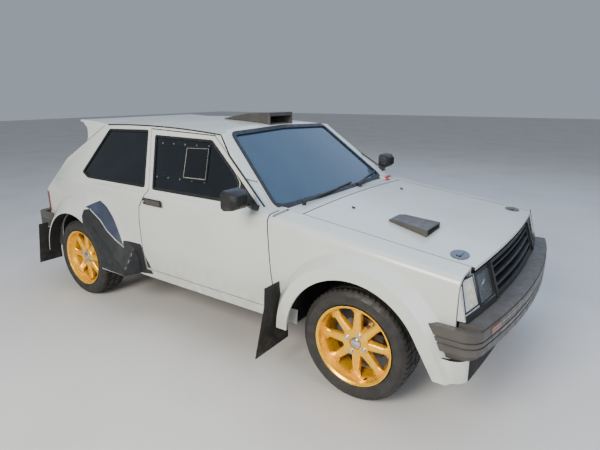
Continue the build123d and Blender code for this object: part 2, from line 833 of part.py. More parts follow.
def make_tyre():
    """Low-profile tyre, round the rim."""
    side = [(92, rim_lip_r + 4), (100, 240), (93, 272), (70, tyre_r)]
    levels = [(-out, radius) for out, radius in side] + side[::-1]
    return faceted(levels, tyre_sides) - faceted([(-120, rim_lip_r + 1), (120, rim_lip_r + 1)], tyre_sides)


wheel = make_wheel()
tyre = make_tyre()
for end, x, face in (("front", front_axle_x, front_face_y), ("rear", rear_axle_x, rear_face_y)):
    place = Location((x, -face + rim_half, hub_z))
    save_pair(wheel.moved(place), f"wheel_{end}")
    save_pair(tyre.moved(place), f"tyre_{end}")


# Front suspension
hub_y = -front_face_y + rim_half


def on_kingpin(z):
    """Point of the kingpin axis at a height."""
    t = (z - ball_joint[2]) / (strut_top[2] - ball_joint[2])
    return tuple(a + (b - a) * t for a, b in zip(ball_joint, strut_top))


def make_knuckle():
    """Steering knuckle with its strut, calliper and steering arm, all turning about the kingpin."""
    x, y, z = front_axle_x, hub_y + 36, hub_z
    carrier_outline = [(x - 42, z - 60), (x - 26, z + 92), (x + 26, z + 92), (x + 42, z - 60)]
    carrier = side_prism(carrier_outline, -y - 34, -y, 12)
    foot = block(x - 22, x + 22, -622, -560, ball_joint[2] + 5, z - 40)
    clamp = rod(on_kingpin(z + 50), on_kingpin(z + 150), 30)
    damper = rod(on_kingpin(z + 60), on_kingpin(690), 22)
    seat = rod(on_kingpin(655), on_kingpin(662), 40)
    piston_rod = drum(on_kingpin(680), on_kingpin(798), 9)
    arm = joined(
        rod((x - 10, y + 20, 235), (x - 135, y + 42, 235), 13),
        rod((x - 135, y + 42, 218), (x - 135, y + 42, 252), 17),
    )
    calliper_outline = [(x + 77, z - 60), (x + 128, z - 60), (x + 128, z + 60), (x + 77, z + 60)]
    calliper = side_prism(calliper_outline, 604, 672, 12)
    disc_room = block(x, x + 121, hub_y + 9, hub_y + 34, z - 120, z + 120)
    bracket = block(x + 10, x + 90, y, y + 12, z - 30, z + 30)
    stub = drum((x, y, z), (x, y - 8.5, z), 22)
    return joined(carrier, foot, clamp, damper, seat, piston_rod, arm, calliper - disc_room, bracket, stub)


save_pair(make_knuckle(), "knuckle")


def make_front_subframe():
    """Front crossmember, lower arms and steering rack."""
    x = front_axle_x
    beam = block(x - 60, x + 60, -330, 330, 215, 262)
    legs = both_sides(block(x - 45, x + 45, -400, -300, 225, 320))
    arm = joined(
        prism(Plane.XY.offset(156), [(x - 18, -612), (x + 18, -612), (x + 55, -310), (x - 55, -310)], 20, 8),
        block(x - 50, x + 50, -345, -300, 156, 230),
    )
    rack = rod((x - 120, -400, 240), (x - 120, 400, 240), 22)
    rack_mount = both_sides(block(x - 130, x - 50, -260, -220, 222, 258))
    return joined(beam, legs, both_sides(arm), rack, rack_mount)


save(make_front_subframe(), "front_subframe")


# Rear axle and suspension
def make_rear_axle():
    """Live axle with its differential, half-tubes and brake plates."""
    x, z = rear_axle_x, hub_z
    end = rear_face_y - rim_half - 27 - 8
    plate = rod((x, -end + 8, z), (x, -end, z), 118)
    diff = joined(rod((x, -72, z), (x, 72, z), 100), rod((x, 0, z), (x + 188, 0, z + 14), 46))
    return joined(rod((x, -end, z), (x, end, z), 36), diff, both_sides(plate))


def make_rear_suspension():
    """Lower links, dampers and their brackets under the floor."""
    x = rear_axle_x
    link = joined(
        rod((x, -440, 238), (-770, -440, 262), 15),
        block(-795, -745, -470, -410, 245, floor_z),
        block(x - 25, x + 25, -465, -415, 222, 254),
    )
    damper = rod((x - 60, -440, 262), (x - 60, -440, 462), 24)
    foot = block(x - 84, x + 10, -462, -418, 236, 264)
    return both_sides(joined(link, damper, foot))


save(joined(make_rear_axle(), make_rear_suspension()), "rear_axle")


# Drive line
def make_engine():
    """Engine as one plain block at its real place and size."""
    return joined(
        block(790, 1330, -190, 190, 400, 690),
        block(830, 1300, -110, 110, 690, 745),
        block(800, 1060, -120, 120, 300, 400),
        both_sides(block(1050, 1110, -330, -180, 395, 440)),
    )


def make_transmission():
    """Bell housing, gearbox and propeller shaft."""
    with BuildPart() as box:
        with BuildSketch(Plane.YZ.offset(790)):
            with Locations((0, 385)):
                RegularPolygon(92, 16)
        with BuildSketch(Plane.YZ.offset(610)):
            with Locations((0, 372)):
                RegularPolygon(72, 16)
        loft(ruled=True)
    return joined(
        box.part,
        rod((615, 0, 372), (120, 0, 362), 62),
        rod((125, 0, 362), (rear_axle_x + 189, 0, hub_z + 14), 32),
        block(250, 300, -150, 150, 272, floor_z),
        block(260, 290, -25, 25, 280, 310),
    )


def make_radiator():
    """Radiator in front of the engine."""
    return block(1536, 1578, -318, 318, 382, 648)


def make_exhaust():
    """Exhaust pipe and rear silencer, hung under the floor."""
    route = [
        (860, 150, 330), (700, 205, 258), (-760, 205, 258), (-960, 250, 205), (-1300, 300, 205),
        (-1420, 330, 250), (-1500, 330, 250),
    ]
    tailpipe = drum((-1490, 330, 250), (-1795, 330, 250), 25)
    silencer = prism(Plane.YZ.offset(-1660), [(240, 212), (420, 212), (420, 288), (240, 288)], 210, 30)
    hangers = joined(
        rod((-600, 205, 262), (-600, 205, floor_z), 10),
        rod((100, 205, 262), (100, 205, floor_z), 10),
        rod((-1600, 330, 280), (-1600, 330, floor_z), 10),
    )
    down = block(846, 900, 128, 172, 318, 400)
    return joined(tube(route, 25, 40), silencer, tailpipe, hangers, down)


save(make_engine(), "engine")
save(make_transmission(), "transmission")
save(make_radiator(), "radiator")
save(make_exhaust(), "exhaust")


# Interior
seat_y = 350


def make_seats():
    """Two fixed-back bucket seats with side bolsters."""
    profile = [
        (-170, 345), (290, 345), (320, 420), (300, 470), (-40, 455), (-170, 760), (-215, 1020), (-260, 1040),
        (-290, 1010), (-250, 700), (-200, 430),
    ]
    bolsters = [
        (-170, 345), (280, 345), (315, 440), (250, 560), (-10, 600), (-90, 800), (-180, 960), (-270, 880),
    ]
    trough = [(400, 400), (-60, 400), (-220, 760), (-260, 1100), (400, 1100)]
    near, far = seat_y - 230, seat_y + 230
    shell = side_prism(profile, near, far, 18)
    wings = side_prism(bolsters, near, far, 18) - side_prism(trough, near + 45, far - 45)
    mount = side_prism([(-150, 315), (270, 315), (270, 350), (-150, 350)], near + 50, far - 50)
    return both_sides(joined(shell, wings, mount))


def make_roll_cage():
    """Bolted roll cage: main hoop, front legs, roof and door bars, rear stays."""
    r = 20
    hoop_x = -345
    floor = floor_z + floor_wall
    boot_room = block(-1400, -900, -700, 700, 480, 1300)
    hoop = tube(
        [
            (hoop_x, -622, floor), (hoop_x, -628, 860), (hoop_x, -478, 1222), (hoop_x, 478, 1222),
            (hoop_x, 628, 860), (hoop_x, 622, floor),
        ],
        r, 90,
    )
    leg = tube([(hoop_x, -470, 1216), (92, -462, 1206), (440, -612, 900), (505, -636, floor)], r - 1, 80)
    side = joined(
        leg,
        rod((hoop_x - 4, -440, 1218), (-1252, -430, 470), r - 2),
        rod((hoop_x + 4, -626, 620), (484, -630, 500), r - 3),
    )
    cross = joined(
        rod((88, -462, 1204), (88, 462, 1204), r - 3),
        rod((hoop_x + 2, -624, 830), (hoop_x + 2, 624, 830), r - 3),
        rod((hoop_x - 3, -612, 380), (hoop_x - 3, 500, 1150), r - 4),
    )
    return joined(hoop, both_sides(side), cross) & (block(-900, 600, -700, 700, floor, 1300) + boot_room)


def make_dashboard():
    """Dashboard shelf with an instrument hood and the steering column."""
    shelf = prism(
        Plane.XZ.offset(-560), [(520, 690), (560, 830), (470, 842), (420, 830), (425, 700)], 1120, 15
    )
    support = both_sides(block(530, 635, -520, -470, 700, 780))
    hood_outline = [(440, 840), (500, 846), (440, 872), (405, 872), (400, 840)]
    hood = side_prism(hood_outline, seat_y - 140, seat_y + 140)
    column = rod((262, -seat_y, 800), (560, -seat_y, 660), 24)
    pedestal = block(540, 635, -seat_y - 40, -seat_y + 40, 640, 720)
    return joined(shelf, support, hood, column, pedestal)


def make_steering_wheel():
    """Three-spoke dished steering wheel."""
    tilt = Plane(origin=(226, -seat_y, 817), x_dir=(0, 1, 0), z_dir=(-0.905, 0, 0.425))
    with BuildPart() as wheel_rim:
        with BuildSketch(Plane.XY.offset(-13)):
            RegularPolygon(178, 32)
            RegularPolygon(152, 32, mode=Mode.SUBTRACT)
        extrude(amount=26)
        chamfer(wheel_rim.edges().group_by(Axis.Z)[0] + wheel_rim.edges().group_by(Axis.Z)[-1], 7)
        with BuildSketch(Plane.XY.offset(-26)):
            RegularPolygon(36, 16)
            with PolarLocations(90, 3, start_angle=90):
                Rectangle(130, 30)
        extrude(amount=7)
        with BuildSketch(Plane.XY.offset(-30)):
            Circle(34)
        extrude(amount=26)
        with BuildSketch(Plane.XY.offset(-20)):
            with PolarLocations(150, 3, start_angle=90):
                Rectangle(30, 30)
        extrude(amount=18)
    return wheel_rim.part.moved(tilt.location)


save(make_seats(), "seats")
save(make_roll_cage(), "roll_cage")
save(make_dashboard(), "dashboard")
save(make_steering_wheel(), "steering_wheel")


# Wipers and mud flaps
def on_screen(y, z, lift):
    """Point a little way off the windscreen."""
    up = z - green_base_z
    half = green_base_half - tumble * up
    return (screen_base_x - screen_slope * up + screen_bow * (1 - (y / half) ** 2) + lift, y, z)


def make_wipers():
    """Two parked wiper arms and blades on the screen."""
    pieces = []
    # columns: pivot y, then y and z of the arm's end, the blade's inner end and its tip
    for pivot, *ends in ((-450, -40, 889, -245, 880, 165, 898), (200, 390, 896, 215, 881, 574, 912)):
        pieces.append(rod((664, pivot, cowl_z), (664, pivot, cowl_z + 28), 12))
        pieces.append(rod((664, pivot, cowl_z + 22), on_screen(*ends[0:2], 12), 6))
        pieces.append(rod(on_screen(*ends[2:4], 9), on_screen(*ends[4:6], 9), 7))
    return joined(*pieces)


def make_mudflaps():
    """Sheet mud flaps behind all four wheels, standing out past the arches."""
    front = prism(
        Plane.YZ.offset(716),
        [(-690, 180), (-690, 294), (-745, 294), (-745, 530), (-878, 530), (-884, 430), (-965, 175)], 5,
    )
    rear_outline = [(-703, 193), (-703, 460), (-781, 460), (-781, 500), (-850, 500), (-885, 193)]
    rear = prism(Plane.YZ.offset(-1588), rear_outline, 5)
    return both_sides(front - front_flare() - outer) + both_sides(rear - outer)


save(make_wipers(), "wipers")
save(make_mudflaps(), "mudflaps")
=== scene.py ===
# %% [markdown]
# A rally car, dressed in Blender
#
# The CAD model gives every panel, joint and size of a small two-door hatchback built for rallying.
# This lesson gives those parts their finish: satin grey paint, gold wheels, treaded tyres, dark
# plastic side windows, rubber seals, lamps and the small fittings that make a car look real.
# All lengths below are in millimetres, and one helper turns them into Blender's metres.

import json
import math

import bmesh
import bpy
from mathutils import Matrix, Vector
from mathutils.bvhtree import BVHTree

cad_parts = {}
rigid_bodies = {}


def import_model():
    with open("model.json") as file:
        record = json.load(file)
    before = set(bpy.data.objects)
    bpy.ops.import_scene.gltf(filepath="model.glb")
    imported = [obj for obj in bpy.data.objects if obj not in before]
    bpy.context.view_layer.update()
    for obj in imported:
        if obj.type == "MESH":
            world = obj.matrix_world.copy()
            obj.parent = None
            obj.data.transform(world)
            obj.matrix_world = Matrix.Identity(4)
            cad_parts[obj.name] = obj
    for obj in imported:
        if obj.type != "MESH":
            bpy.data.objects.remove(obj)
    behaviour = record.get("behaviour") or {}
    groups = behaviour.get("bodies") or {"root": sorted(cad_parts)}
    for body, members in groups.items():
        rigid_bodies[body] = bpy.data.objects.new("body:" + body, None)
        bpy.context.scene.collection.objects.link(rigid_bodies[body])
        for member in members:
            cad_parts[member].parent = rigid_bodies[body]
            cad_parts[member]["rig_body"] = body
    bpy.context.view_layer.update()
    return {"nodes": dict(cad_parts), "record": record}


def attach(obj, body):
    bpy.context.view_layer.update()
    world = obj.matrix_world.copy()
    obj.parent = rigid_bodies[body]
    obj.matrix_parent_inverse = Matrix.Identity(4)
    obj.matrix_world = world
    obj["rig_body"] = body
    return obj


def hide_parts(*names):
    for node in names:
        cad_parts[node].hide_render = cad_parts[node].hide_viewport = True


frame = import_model()
scene = bpy.context.scene
nodes = frame["nodes"]

# %% [markdown]
# Driving sizes. They repeat the ones that the CAD model was drawn from, so that every added piece
# lands on the part that carries it.

# %% Sizes of the car in millimetres
MM = 0.001
AXLE_X = 1150
HUB_Z = 288
TYRE_R = 288
TREAD_HALF = 77
FRONT_FACE_Y = 752
REAR_FACE_Y = 776
RIM_HALF = 95
ARCH_Z = 290
ARCH_R = 354
BELT_Z = 860
CREASE_Z = 495
SCREEN_BASE_X = 618
SCREEN_SLOPE = 1.17
SCREEN_BOW = 32
NOSE_FOOT_Z = 560
NOSE_TALL = 180
NOSE_HALF = 748
BUMPER_X = 1815
BUMPER_SWEEP = 69
BUMPER_HALF = 716
HALF_AT_BELT = 739
TUMBLE = 0.455
GLASS_INSET = 5
SEAT_Y = 350
SIDES = (("right", -1), ("left", 1))
print("wheelbase", 2 * AXLE_X, "mm")


def mm(*point):
    """A point in millimetres as a Blender vector in metres."""
    return Vector(point) * MM


# %% [markdown]
# Materials need the same steps each time: make the shader, set its sockets, link a pattern. One
# function adds any node with its settings and links, and one turns a hex colour, as a paint chart
# gives it, into the linear values that the shader works in. Every pattern reads Object coordinates,
# and every object sits at the origin, so a pattern keeps its place on the car.

# %% Colour and node helpers
def linear(hex_code):
    """A hex sRGB colour as linear RGBA."""
    channels = [int(hex_code[i : i + 2], 16) / 255 for i in (1, 3, 5)]
    return (*[c / 12.92 if c <= 0.04045 else ((c + 0.055) / 1.055) ** 2.4 for c in channels], 1.0)


def add_node(tree, kind, settings=None, **links):
    """A new node with its settings (by socket or property name) and its links (by socket name)."""
    node = tree.nodes.new(kind)
    for key, value in (settings or {}).items():
        if key in node.inputs:
            node.inputs[key].default_value = value
        else:
            setattr(node, key, value)
    for name, source in links.items():
        tree.links.new(source, node.inputs[name.replace("_", " ")])
    return node


def opened(material):
    """A material's node tree and its shader's sockets."""
    tree = material.node_tree
    return tree, tree.nodes["Principled BSDF"].inputs


def surface(name, colour, roughness, patches=(), **values):
    """A named material. Patches are what mottle takes, and values go straight to the shader's sockets."""
    material = bpy.data.materials.new(name)
    material.use_nodes = True
    _, sockets = opened(material)
    sockets["Base Color"].default_value = linear(colour)
    sockets["Roughness"].default_value = roughness
    for key, value in values.items():
        sockets[key.replace("_", " ")].default_value = value
    if patches:
        mottle(material, *patches)
    return material


def mottle(material, colour, size_mm, low=0.45, high=0.75, amount=1.0, fade=None):
    """Cloudy patches of a second colour, about that size. Fade gives heights where they thin out."""
    tree, sockets = opened(material)
    spot = add_node(tree, "ShaderNodeTexCoord").outputs["Object"]
    noise = add_node(tree, "ShaderNodeTexNoise", {"Scale": 1 / (size_mm * MM), "Detail": 4}, Vector=spot)
    patch = add_node(tree, "ShaderNodeMapRange", {"From Min": low, "From Max": high, "To Max": amount},
                     Value=noise.outputs["Fac"])
    if fade:
        parts = add_node(tree, "ShaderNodeSeparateXYZ", Vector=spot)
        fall = add_node(tree, "ShaderNodeMapRange",
                        {"From Min": fade[0] * MM, "From Max": fade[1] * MM, "To Min": amount, "To Max": 0.0},
                        Value=parts.outputs["Z"])
        tree.links.new(fall.outputs["Result"], patch.inputs["To Max"])
    base = sockets["Base Color"]
    mix = add_node(tree, "ShaderNodeMix", {"data_type": "RGBA"}, Factor=patch.outputs["Result"])
    mix.inputs[6].default_value = tuple(base.default_value)
    mix.inputs[7].default_value = linear(colour)
    if base.is_linked:
        tree.links.new(base.links[0].from_socket, mix.inputs[6])
    tree.links.new(mix.outputs[2], base)


def gloss(material, size_mm, low, high):
    """Patches of about that size that move the roughness between two values."""
    tree, sockets = opened(material)
    spot = add_node(tree, "ShaderNodeTexCoord").outputs["Object"]
    noise = add_node(tree, "ShaderNodeTexNoise", {"Scale": 1 / (size_mm * MM), "Detail": 3}, Vector=spot)
    ramp = add_node(tree, "ShaderNodeMapRange",
                    {"From Min": 0.35, "From Max": 0.65, "To Min": low, "To Max": high},
                    Value=noise.outputs["Fac"])
    tree.links.new(ramp.outputs["Result"], sockets["Roughness"])


def grain(material, size_mm, height_mm, strength, stretch=(1, 1, 1)):
    """A fine bump of that grain width and height. Stretch makes it run along an axis."""
    tree, sockets = opened(material)
    spot = add_node(tree, "ShaderNodeTexCoord").outputs["Object"]
    scaled = add_node(tree, "ShaderNodeMapping", {"Scale": stretch}, Vector=spot)
    noise = add_node(tree, "ShaderNodeTexNoise", {"Scale": 1 / (size_mm * MM), "Detail": 3},
                     Vector=scaled.outputs["Vector"])
    bump = add_node(tree, "ShaderNodeBump", {"Strength": strength, "Distance": height_mm * MM},
                    Height=noise.outputs["Fac"])
    tree.links.new(bump.outputs["Normal"], sockets["Normal"])


def ribbed(material, width_mm, height_mm, axis, strength=0.8):
    """A bump of parallel ribs of that pitch, square to an axis, as in a moulded lens or a weave."""
    tree, sockets = opened(material)
    spot = add_node(tree, "ShaderNodeTexCoord").outputs["Object"]
    wave = add_node(tree, "ShaderNodeTexWave",
                    {"Scale": math.pi / (10 * width_mm * MM), "bands_direction": axis}, Vector=spot)
    bump = add_node(tree, "ShaderNodeBump", {"Strength": strength, "Distance": height_mm * MM},
                    Height=wave.outputs["Fac"])
    tree.links.new(bump.outputs["Normal"], sockets["Normal"])


print("helpers ready")

# %% [markdown]
# The paint is a plain two-pack grey, sprayed in a workshop: a satin coat with a faint orange peel,
# a slightly darker cloudiness, and road dust that thins out above the sills.

# %% Satin grey body paint
body_paint = surface("two_pack_satin_paint", "#C1C6C0", 0.32, ("#B8BDBA", 420, 0.45, 0.75, 0.7),
                     Coat_Weight=0.55, Coat_Roughness=0.14)
mottle(body_paint, "#958E7E", 60, 0.3, 0.8, 0.55, fade=(290, 560))
gloss(body_paint, 180, 0.28, 0.42)
grain(body_paint, 6, 0.05, 0.25)
print(body_paint.name)

# %% [markdown]
# Inside the arches and under the floor the steel is sprayed with black underseal, a thick rubbery
# coat that hides every seam. It is rough, and its lumps are a few millimetres across.

# %% Black underseal
underseal = surface("black_underseal", "#131313", 0.85, ("#332F29", 70, 0.5, 0.8, 0.6))
grain(underseal, 5, 1.2, 0.8)

# %% [markdown]
# Over the front half of each rear arch the paint is covered with film that takes the stone chips:
# a glossy slate sheet on top and a duller black one below. Both are thin plastic with scratches.

# %% Stone-chip film
film = surface("slate_stone_chip_film", "#2C3444", 0.34, ("#353E50", 120), Coat_Weight=0.1)
gloss(film, 60, 0.3, 0.42)
grain(film, 3, 0.04, 0.25, (1, 1, 5))
black_film = surface("black_stone_chip_film", "#15171A", 0.5, ("#202225", 60))
gloss(black_film, 40, 0.42, 0.6)
grain(black_film, 3, 0.05, 0.3, (1, 1, 5))
# Painted highlight: a pale line for the rear flare's fold, where the films meet.
fold_painted_highlight = surface("painted_fold_highlight", "#A9ABA8", 0.55, ("#6E7179", 25, 0.4, 0.7, 0.8))

# %% [markdown]
# Bumpers, mirrors, scoop and duct are moulded in a dark bronze-grey plastic. Years of sun leave it
# a little chalky, which shows as pale patches and a higher roughness.

# %% Weathered moulded plastic
dark_plastic = surface("weathered_abs_plastic", "#403D3A", 0.38, ("#55514C", 90, 0.35, 0.75, 0.7))
gloss(dark_plastic, 40, 0.32, 0.52)
grain(dark_plastic, 1.5, 0.08, 0.4)
# Pale plastic, for the sliding panes' frames and for painted highlights on the bumper grooves and lamp sills.
pale_trim_and_painted_highlight = surface("pale_trim_and_painted_highlight_plastic", "#8A8782", 0.5, ("#6A6762", 40))
black_plastic = surface("black_moulded_plastic", "#141414", 0.4, ("#22211F", 60))
gloss(black_plastic, 30, 0.34, 0.5)
grain(black_plastic, 1.2, 0.06, 0.4)
catch_plastic = surface("polished_catch_plastic", "#16222F", 0.12, ("#22303F", 30), Coat_Weight=0.5)
amber_plastic = surface("faded_amber_lens", "#7A3F26", 0.3, ("#5A2F20", 20), Coat_Weight=0.3)
red_plastic = surface("red_pull_handle_plastic", "#B3261E", 0.35, ("#8E1D18", 12))

# %% [markdown]
# Rubber: tyres are carbon black with a brownish bloom, seals are smoother and darker, and the mud
# flaps are flat sheet with dried mud near the bottom.

# %% Rubbers
tyre_rubber = surface("carbon_black_rubber", "#212121", 0.62, ("#35322E", 45, 0.35, 0.8))
gloss(tyre_rubber, 25, 0.5, 0.75)
grain(tyre_rubber, 1.5, 0.1, 0.5)
seal_rubber = surface("extruded_seal_rubber", "#0C0C0E", 0.45, ("#1B1B1E", 30))
gloss(seal_rubber, 20, 0.38, 0.6)
flap_rubber = surface("flat_sheet_rubber", "#131314", 0.6, ("#4A443A", 40, 0.4, 0.7, 0.7, (160, 420)))
gloss(flap_rubber, 60, 0.5, 0.75)

# %% [markdown]
# The wheels are cast aluminium under gold paint. The paint is a metallic lacquer, so part of it
# behaves as metal, and brake dust darkens the roots of the spokes.

# %% Gold wheel lacquer, steels and chrome
gold = surface("gold_wheel_lacquer", "#FFC42C", 0.24, ("#D69E28", 35, 0.4, 0.8, 0.5), Metallic=0.6,
               Coat_Weight=0.35, Coat_Roughness=0.12)
gloss(gold, 25, 0.22, 0.34)
grain(gold, 4, 0.05, 0.2)
chrome = surface("chromed_steel", "#C9CCD0", 0.16, Metallic=1.0)
gloss(chrome, 20, 0.10, 0.24)
disc_steel = surface("ground_brake_disc_iron", "#8B8885", 0.35, ("#6B5A4C", 60, 0.45, 0.8, 0.6), Metallic=1.0)
chassis_paint = surface("black_chassis_paint", "#1A1A1B", 0.5, ("#3B332B", 50, 0.5, 0.8, 0.7))
grain(chassis_paint, 3, 0.2, 0.4)
cast_alloy = surface("sand_cast_aluminium", "#8D8E8F", 0.55, ("#5F5E5C", 40), Metallic=1.0)
grain(cast_alloy, 2, 0.3, 0.6)
iron = surface("cast_engine_iron", "#3C3D40", 0.6, ("#55473A", 60), Metallic=0.6)
grain(iron, 3, 0.3, 0.6)
fin_core = surface("finned_radiator_alloy", "#46474A", 0.5, ("#5D5B58", 80), Metallic=0.8)
ribbed(fin_core, 3, 1.0, "Z")
exhaust_steel = surface("heat_dulled_mild_steel", "#77716A", 0.5, ("#5C4536", 80, 0.4, 0.8), Metallic=1.0)
gloss(exhaust_steel, 50, 0.4, 0.65)
spring_paint = surface("blue_spring_enamel", "#2B3B66", 0.4, ("#3A3A3E", 25, 0.5, 0.8, 0.8))
cage_paint = surface("powder_coated_cage_tube", "#B9BCBD", 0.4, ("#9DA0A1", 120))
grain(cage_paint, 2, 0.05, 0.3)

# %% [markdown]
# Cloth: the seat cushions have a black woven cover, and the harness is polyester webbing with a
# coarse weave across its width.

# %% Woven cover and webbing
seat_cloth = surface("black_woven_seat_cover", "#1C1C20", 0.9, ("#2B2B31", 35, 0.4, 0.7), Sheen_Weight=0.35)
grain(seat_cloth, 1.6, 0.5, 0.8)
webbing = surface("polyester_harness_webbing", "#2A3570", 0.8, ("#1F2856", 20), Sheen_Weight=0.2)
ribbed(webbing, 2.5, 0.4, "X")
suede = surface("black_suede_wrap", "#17171A", 0.95, ("#26262A", 18), Sheen_Weight=0.4)
grain(suede, 1.2, 0.3, 0.7)

# %% [markdown]
# Glass: the screen is laminated glass with a tint, made deeper and bluer as a painted reflection of
# the sky. The side windows are dark tinted polycarbonate sheet, softer than glass, so they are
# slightly wavy and less clear. The lamps have moulded lenses, whose ribs spread the light.

# %% Glass and lenses
# Partly painted reflection: the blue base colour stands for the sky reflected in the screen as well as its
# tint.
screen_glass = surface("tinted_glass_and_painted_sky_reflection", "#3F6684", 0.03, ("#375A76", 300), Transmission_Weight=0.62,
                       IOR=1.5)
side_plastic = surface("dark_polycarbonate_sheet", "#0A0E12", 0.08, ("#12181D", 140),
                       Transmission_Weight=0.25, IOR=1.58)
grain(side_plastic, 160, 0.6, 0.35)
# Painted shade: a near-black sheet for the sliding pane's opening, where the cabin behind is dark.
opening_painted_shade = surface("black_sheet_painted_shade", "#030405", 0.1, ("#080A0C", 90), Coat_Weight=0.3)
clear_lens = surface("moulded_clear_lens", "#E9ECEA", 0.08, ("#C9CCC8", 60, 0.45, 0.75, 0.6),
                     Transmission_Weight=0.45, IOR=1.49)
ribbed(clear_lens, 12, 0.5, "Z", 0.5)
lens_step = surface("stepped_lens_moulding", "#D9D2BE", 0.12, ("#B9AE94", 25, 0.4, 0.7), Coat_Weight=0.5)
ribbed(lens_step, 8, 1.0, "Z", 0.7)
lamp_glass = surface("fluted_headlamp_glass", "#AEB6BB", 0.06, ("#8F989E", 50, 0.45, 0.75, 0.5),
                     Transmission_Weight=0.9, IOR=1.5)
ribbed(lamp_glass, 14, 1.2, "Y")
reflector = surface("vapour_coated_reflector", "#7C8084", 0.18, ("#3D4043", 45, 0.4, 0.7), Metallic=1.0)
red_lens = surface("moulded_red_lens", "#8E0B0B", 0.15, ("#5A0505", 40), Transmission_Weight=0.3, IOR=1.49)
ribbed(red_lens, 7, 1.2, "Z")
mirror_glass = surface("silvered_mirror_glass", "#D5D9DB", 0.03, Metallic=1.0)
gloss(mirror_glass, 50, 0.02, 0.06)
print(len(bpy.data.materials), "materials so far")

# %% [markdown]
# A CAD node comes in as loose triangles. A copy with its doubles merged and its flat faces joined
# can be shaded smooth and have its edges eased, as every real pressing and moulding has. The copy
# takes the place of the node and rides on the same body.

# %% Dressing a CAD node
slots = {row["node"]: row["material_slot"] for row in frame["record"]["subparts"]}
EASE_ANGLE = math.radians(38)
# Axis and place of each plane where the shell is only divided for handling.
SHELL_JOINTS = ((0, 634), (0, -1600), (0, -780), (2, 485), (2, 1236))


def add_object(name, bm, angle=EASE_ANGLE):
    """A new object at the origin from a bmesh, shaded smooth.

    An edge stays sharp where it turns more than the angle, or lies on the panels' low crease.
    """
    for face in bm.faces:
        face.smooth = True
    for edge in bm.edges:
        if len(edge.link_faces) == 2:
            on_crease = all(abs(vert.co.z / MM - CREASE_Z) < 1.5 for vert in edge.verts)
            edge.smooth = edge.calc_face_angle(0) < (math.radians(2) if on_crease else angle)
    mesh = bpy.data.meshes.new(name)
    bm.to_mesh(mesh)
    bm.free()
    obj = bpy.data.objects.new(name, mesh)
    scene.collection.objects.link(obj)
    return obj


def round_off(bm, geom, width_mm, segments, affect="EDGES"):
    """Rounds edges or corners of a bmesh."""
    bmesh.ops.bevel(bm, geom=geom, offset=width_mm * MM, offset_type="OFFSET", segments=segments,
                    profile=0.5, affect=affect, material=-1)


def ease_edges(obj, width_mm):
    """A bevel on every sharp edge, so that edges catch the light."""
    bevel = obj.modifiers.new("eased_edges", "BEVEL")
    bevel.width = width_mm * MM
    bevel.segments = 2
    bevel.limit_method = "ANGLE"
    bevel.angle_limit = EASE_ANGLE
    bevel.harden_normals = True


def finish_piece(name, bm, material, body, slot_name, ease=0, stands_for=(), angle=EASE_ANGLE):
    """An object from a bmesh, with its material, edges, body and the nodes that it stands for. The slot name
    is not used.
    """
    obj = add_object(name, bm, angle)
    obj.data.materials.append(material)
    if ease:
        ease_edges(obj, ease)
    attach(obj, body)
    if stands_for:
        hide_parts(*stands_for)
    return obj


def on_joint(face):
    """Whether a face lies on one of the planes that divide the shell."""
    return any(all(abs(vert.co[axis] / MM - spot) < 0.05 for vert in face.verts)
               for axis, spot in SHELL_JOINTS)


def merged_copy(*names):
    """The nodes' meshes as one bmesh with doubles merged and flat faces joined."""
    bm = bmesh.new()
    for name in names:
        bm.from_mesh(nodes[name].data)
    if len(names) > 1:
        bmesh.ops.delete(bm, geom=[face for face in bm.faces if on_joint(face)], context="FACES")
    bmesh.ops.remove_doubles(bm, verts=bm.verts, dist=0.02 * MM)
    bmesh.ops.dissolve_limit(bm, angle_limit=math.radians(0.4), verts=bm.verts, edges=bm.edges)
    return bm


def dress(node, material, edge_mm, form=None):
    """A finished copy of a CAD node, or of a form made from it."""
    bm = merged_copy(node) if form is None else form
    return finish_piece(f"{node}_finish", bm, material, nodes[node]["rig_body"], slots[node], edge_mm, [node])


def recolour(obj, material, test):
    """Gives the material to every face that passes the test of its centre and normal, in millimetres."""
    obj.data.materials.append(material)
    changed = [face for face in obj.data.polygons if test(face.center / MM, face.normal)]
    for face in changed:
        face.material_index = len(obj.data.materials) - 1
    print(obj.name, len(changed), "faces in", material.name)


# %% [markdown]
# The painted panels. The shell was divided for handling, so its panels are joined into one finished
# shell again without the faces between them. It needs more than paint in places: underseal inside
# the wheel wells, under the floor and round the engine bay.

# %% Painted panels
shell_nodes = ["body_sides", "front_structure", "floor_pan", "tail_panel", "roof_panel"]
shell = finish_piece("painted_shell", merged_copy(*shell_nodes), body_paint, "root", "body_paint",
                     stands_for=shell_nodes)
panels = {node: dress(node, body_paint, 2.0) for node in (
    "fender_left", "fender_right", "door_left", "door_right", "bonnet", "tailgate", "roof_spoiler",
    "front_spoiler")}


def takes_underseal(centre, normal):
    """Rear wheel wells, the underside, and what lies ahead of the bulkhead but for the top of the cowl."""
    to_axle = Vector((-AXLE_X - centre.x, 0, ARCH_Z - centre.z))
    looks_in = to_axle.length < ARCH_R + 2 and normal.dot(to_axle.normalized()) > 0.5 and abs(centre.y) > 520
    wall = to_axle.length < ARCH_R - 14 and 500 < abs(centre.y) < 560 and centre.z < 660
    under = normal.z < -0.7 and centre.z < 300
    bay = centre.x > 662 and not (normal.z > 0.6 and centre.z > 840)
    return looks_in or wall or under or bay


def in_shaded_door_gap(centre, normal):
    """Edges of the door openings, below the belt, made black with seal rubber as painted shade of the door
    gaps.
    """
    front = 640 < centre.x < 684 and normal.x < -0.8
    rear = -440 < centre.x < -345 and normal.x > 0.6
    return (front or rear) and abs(centre.y) > 560 and 352 < centre.z < 884


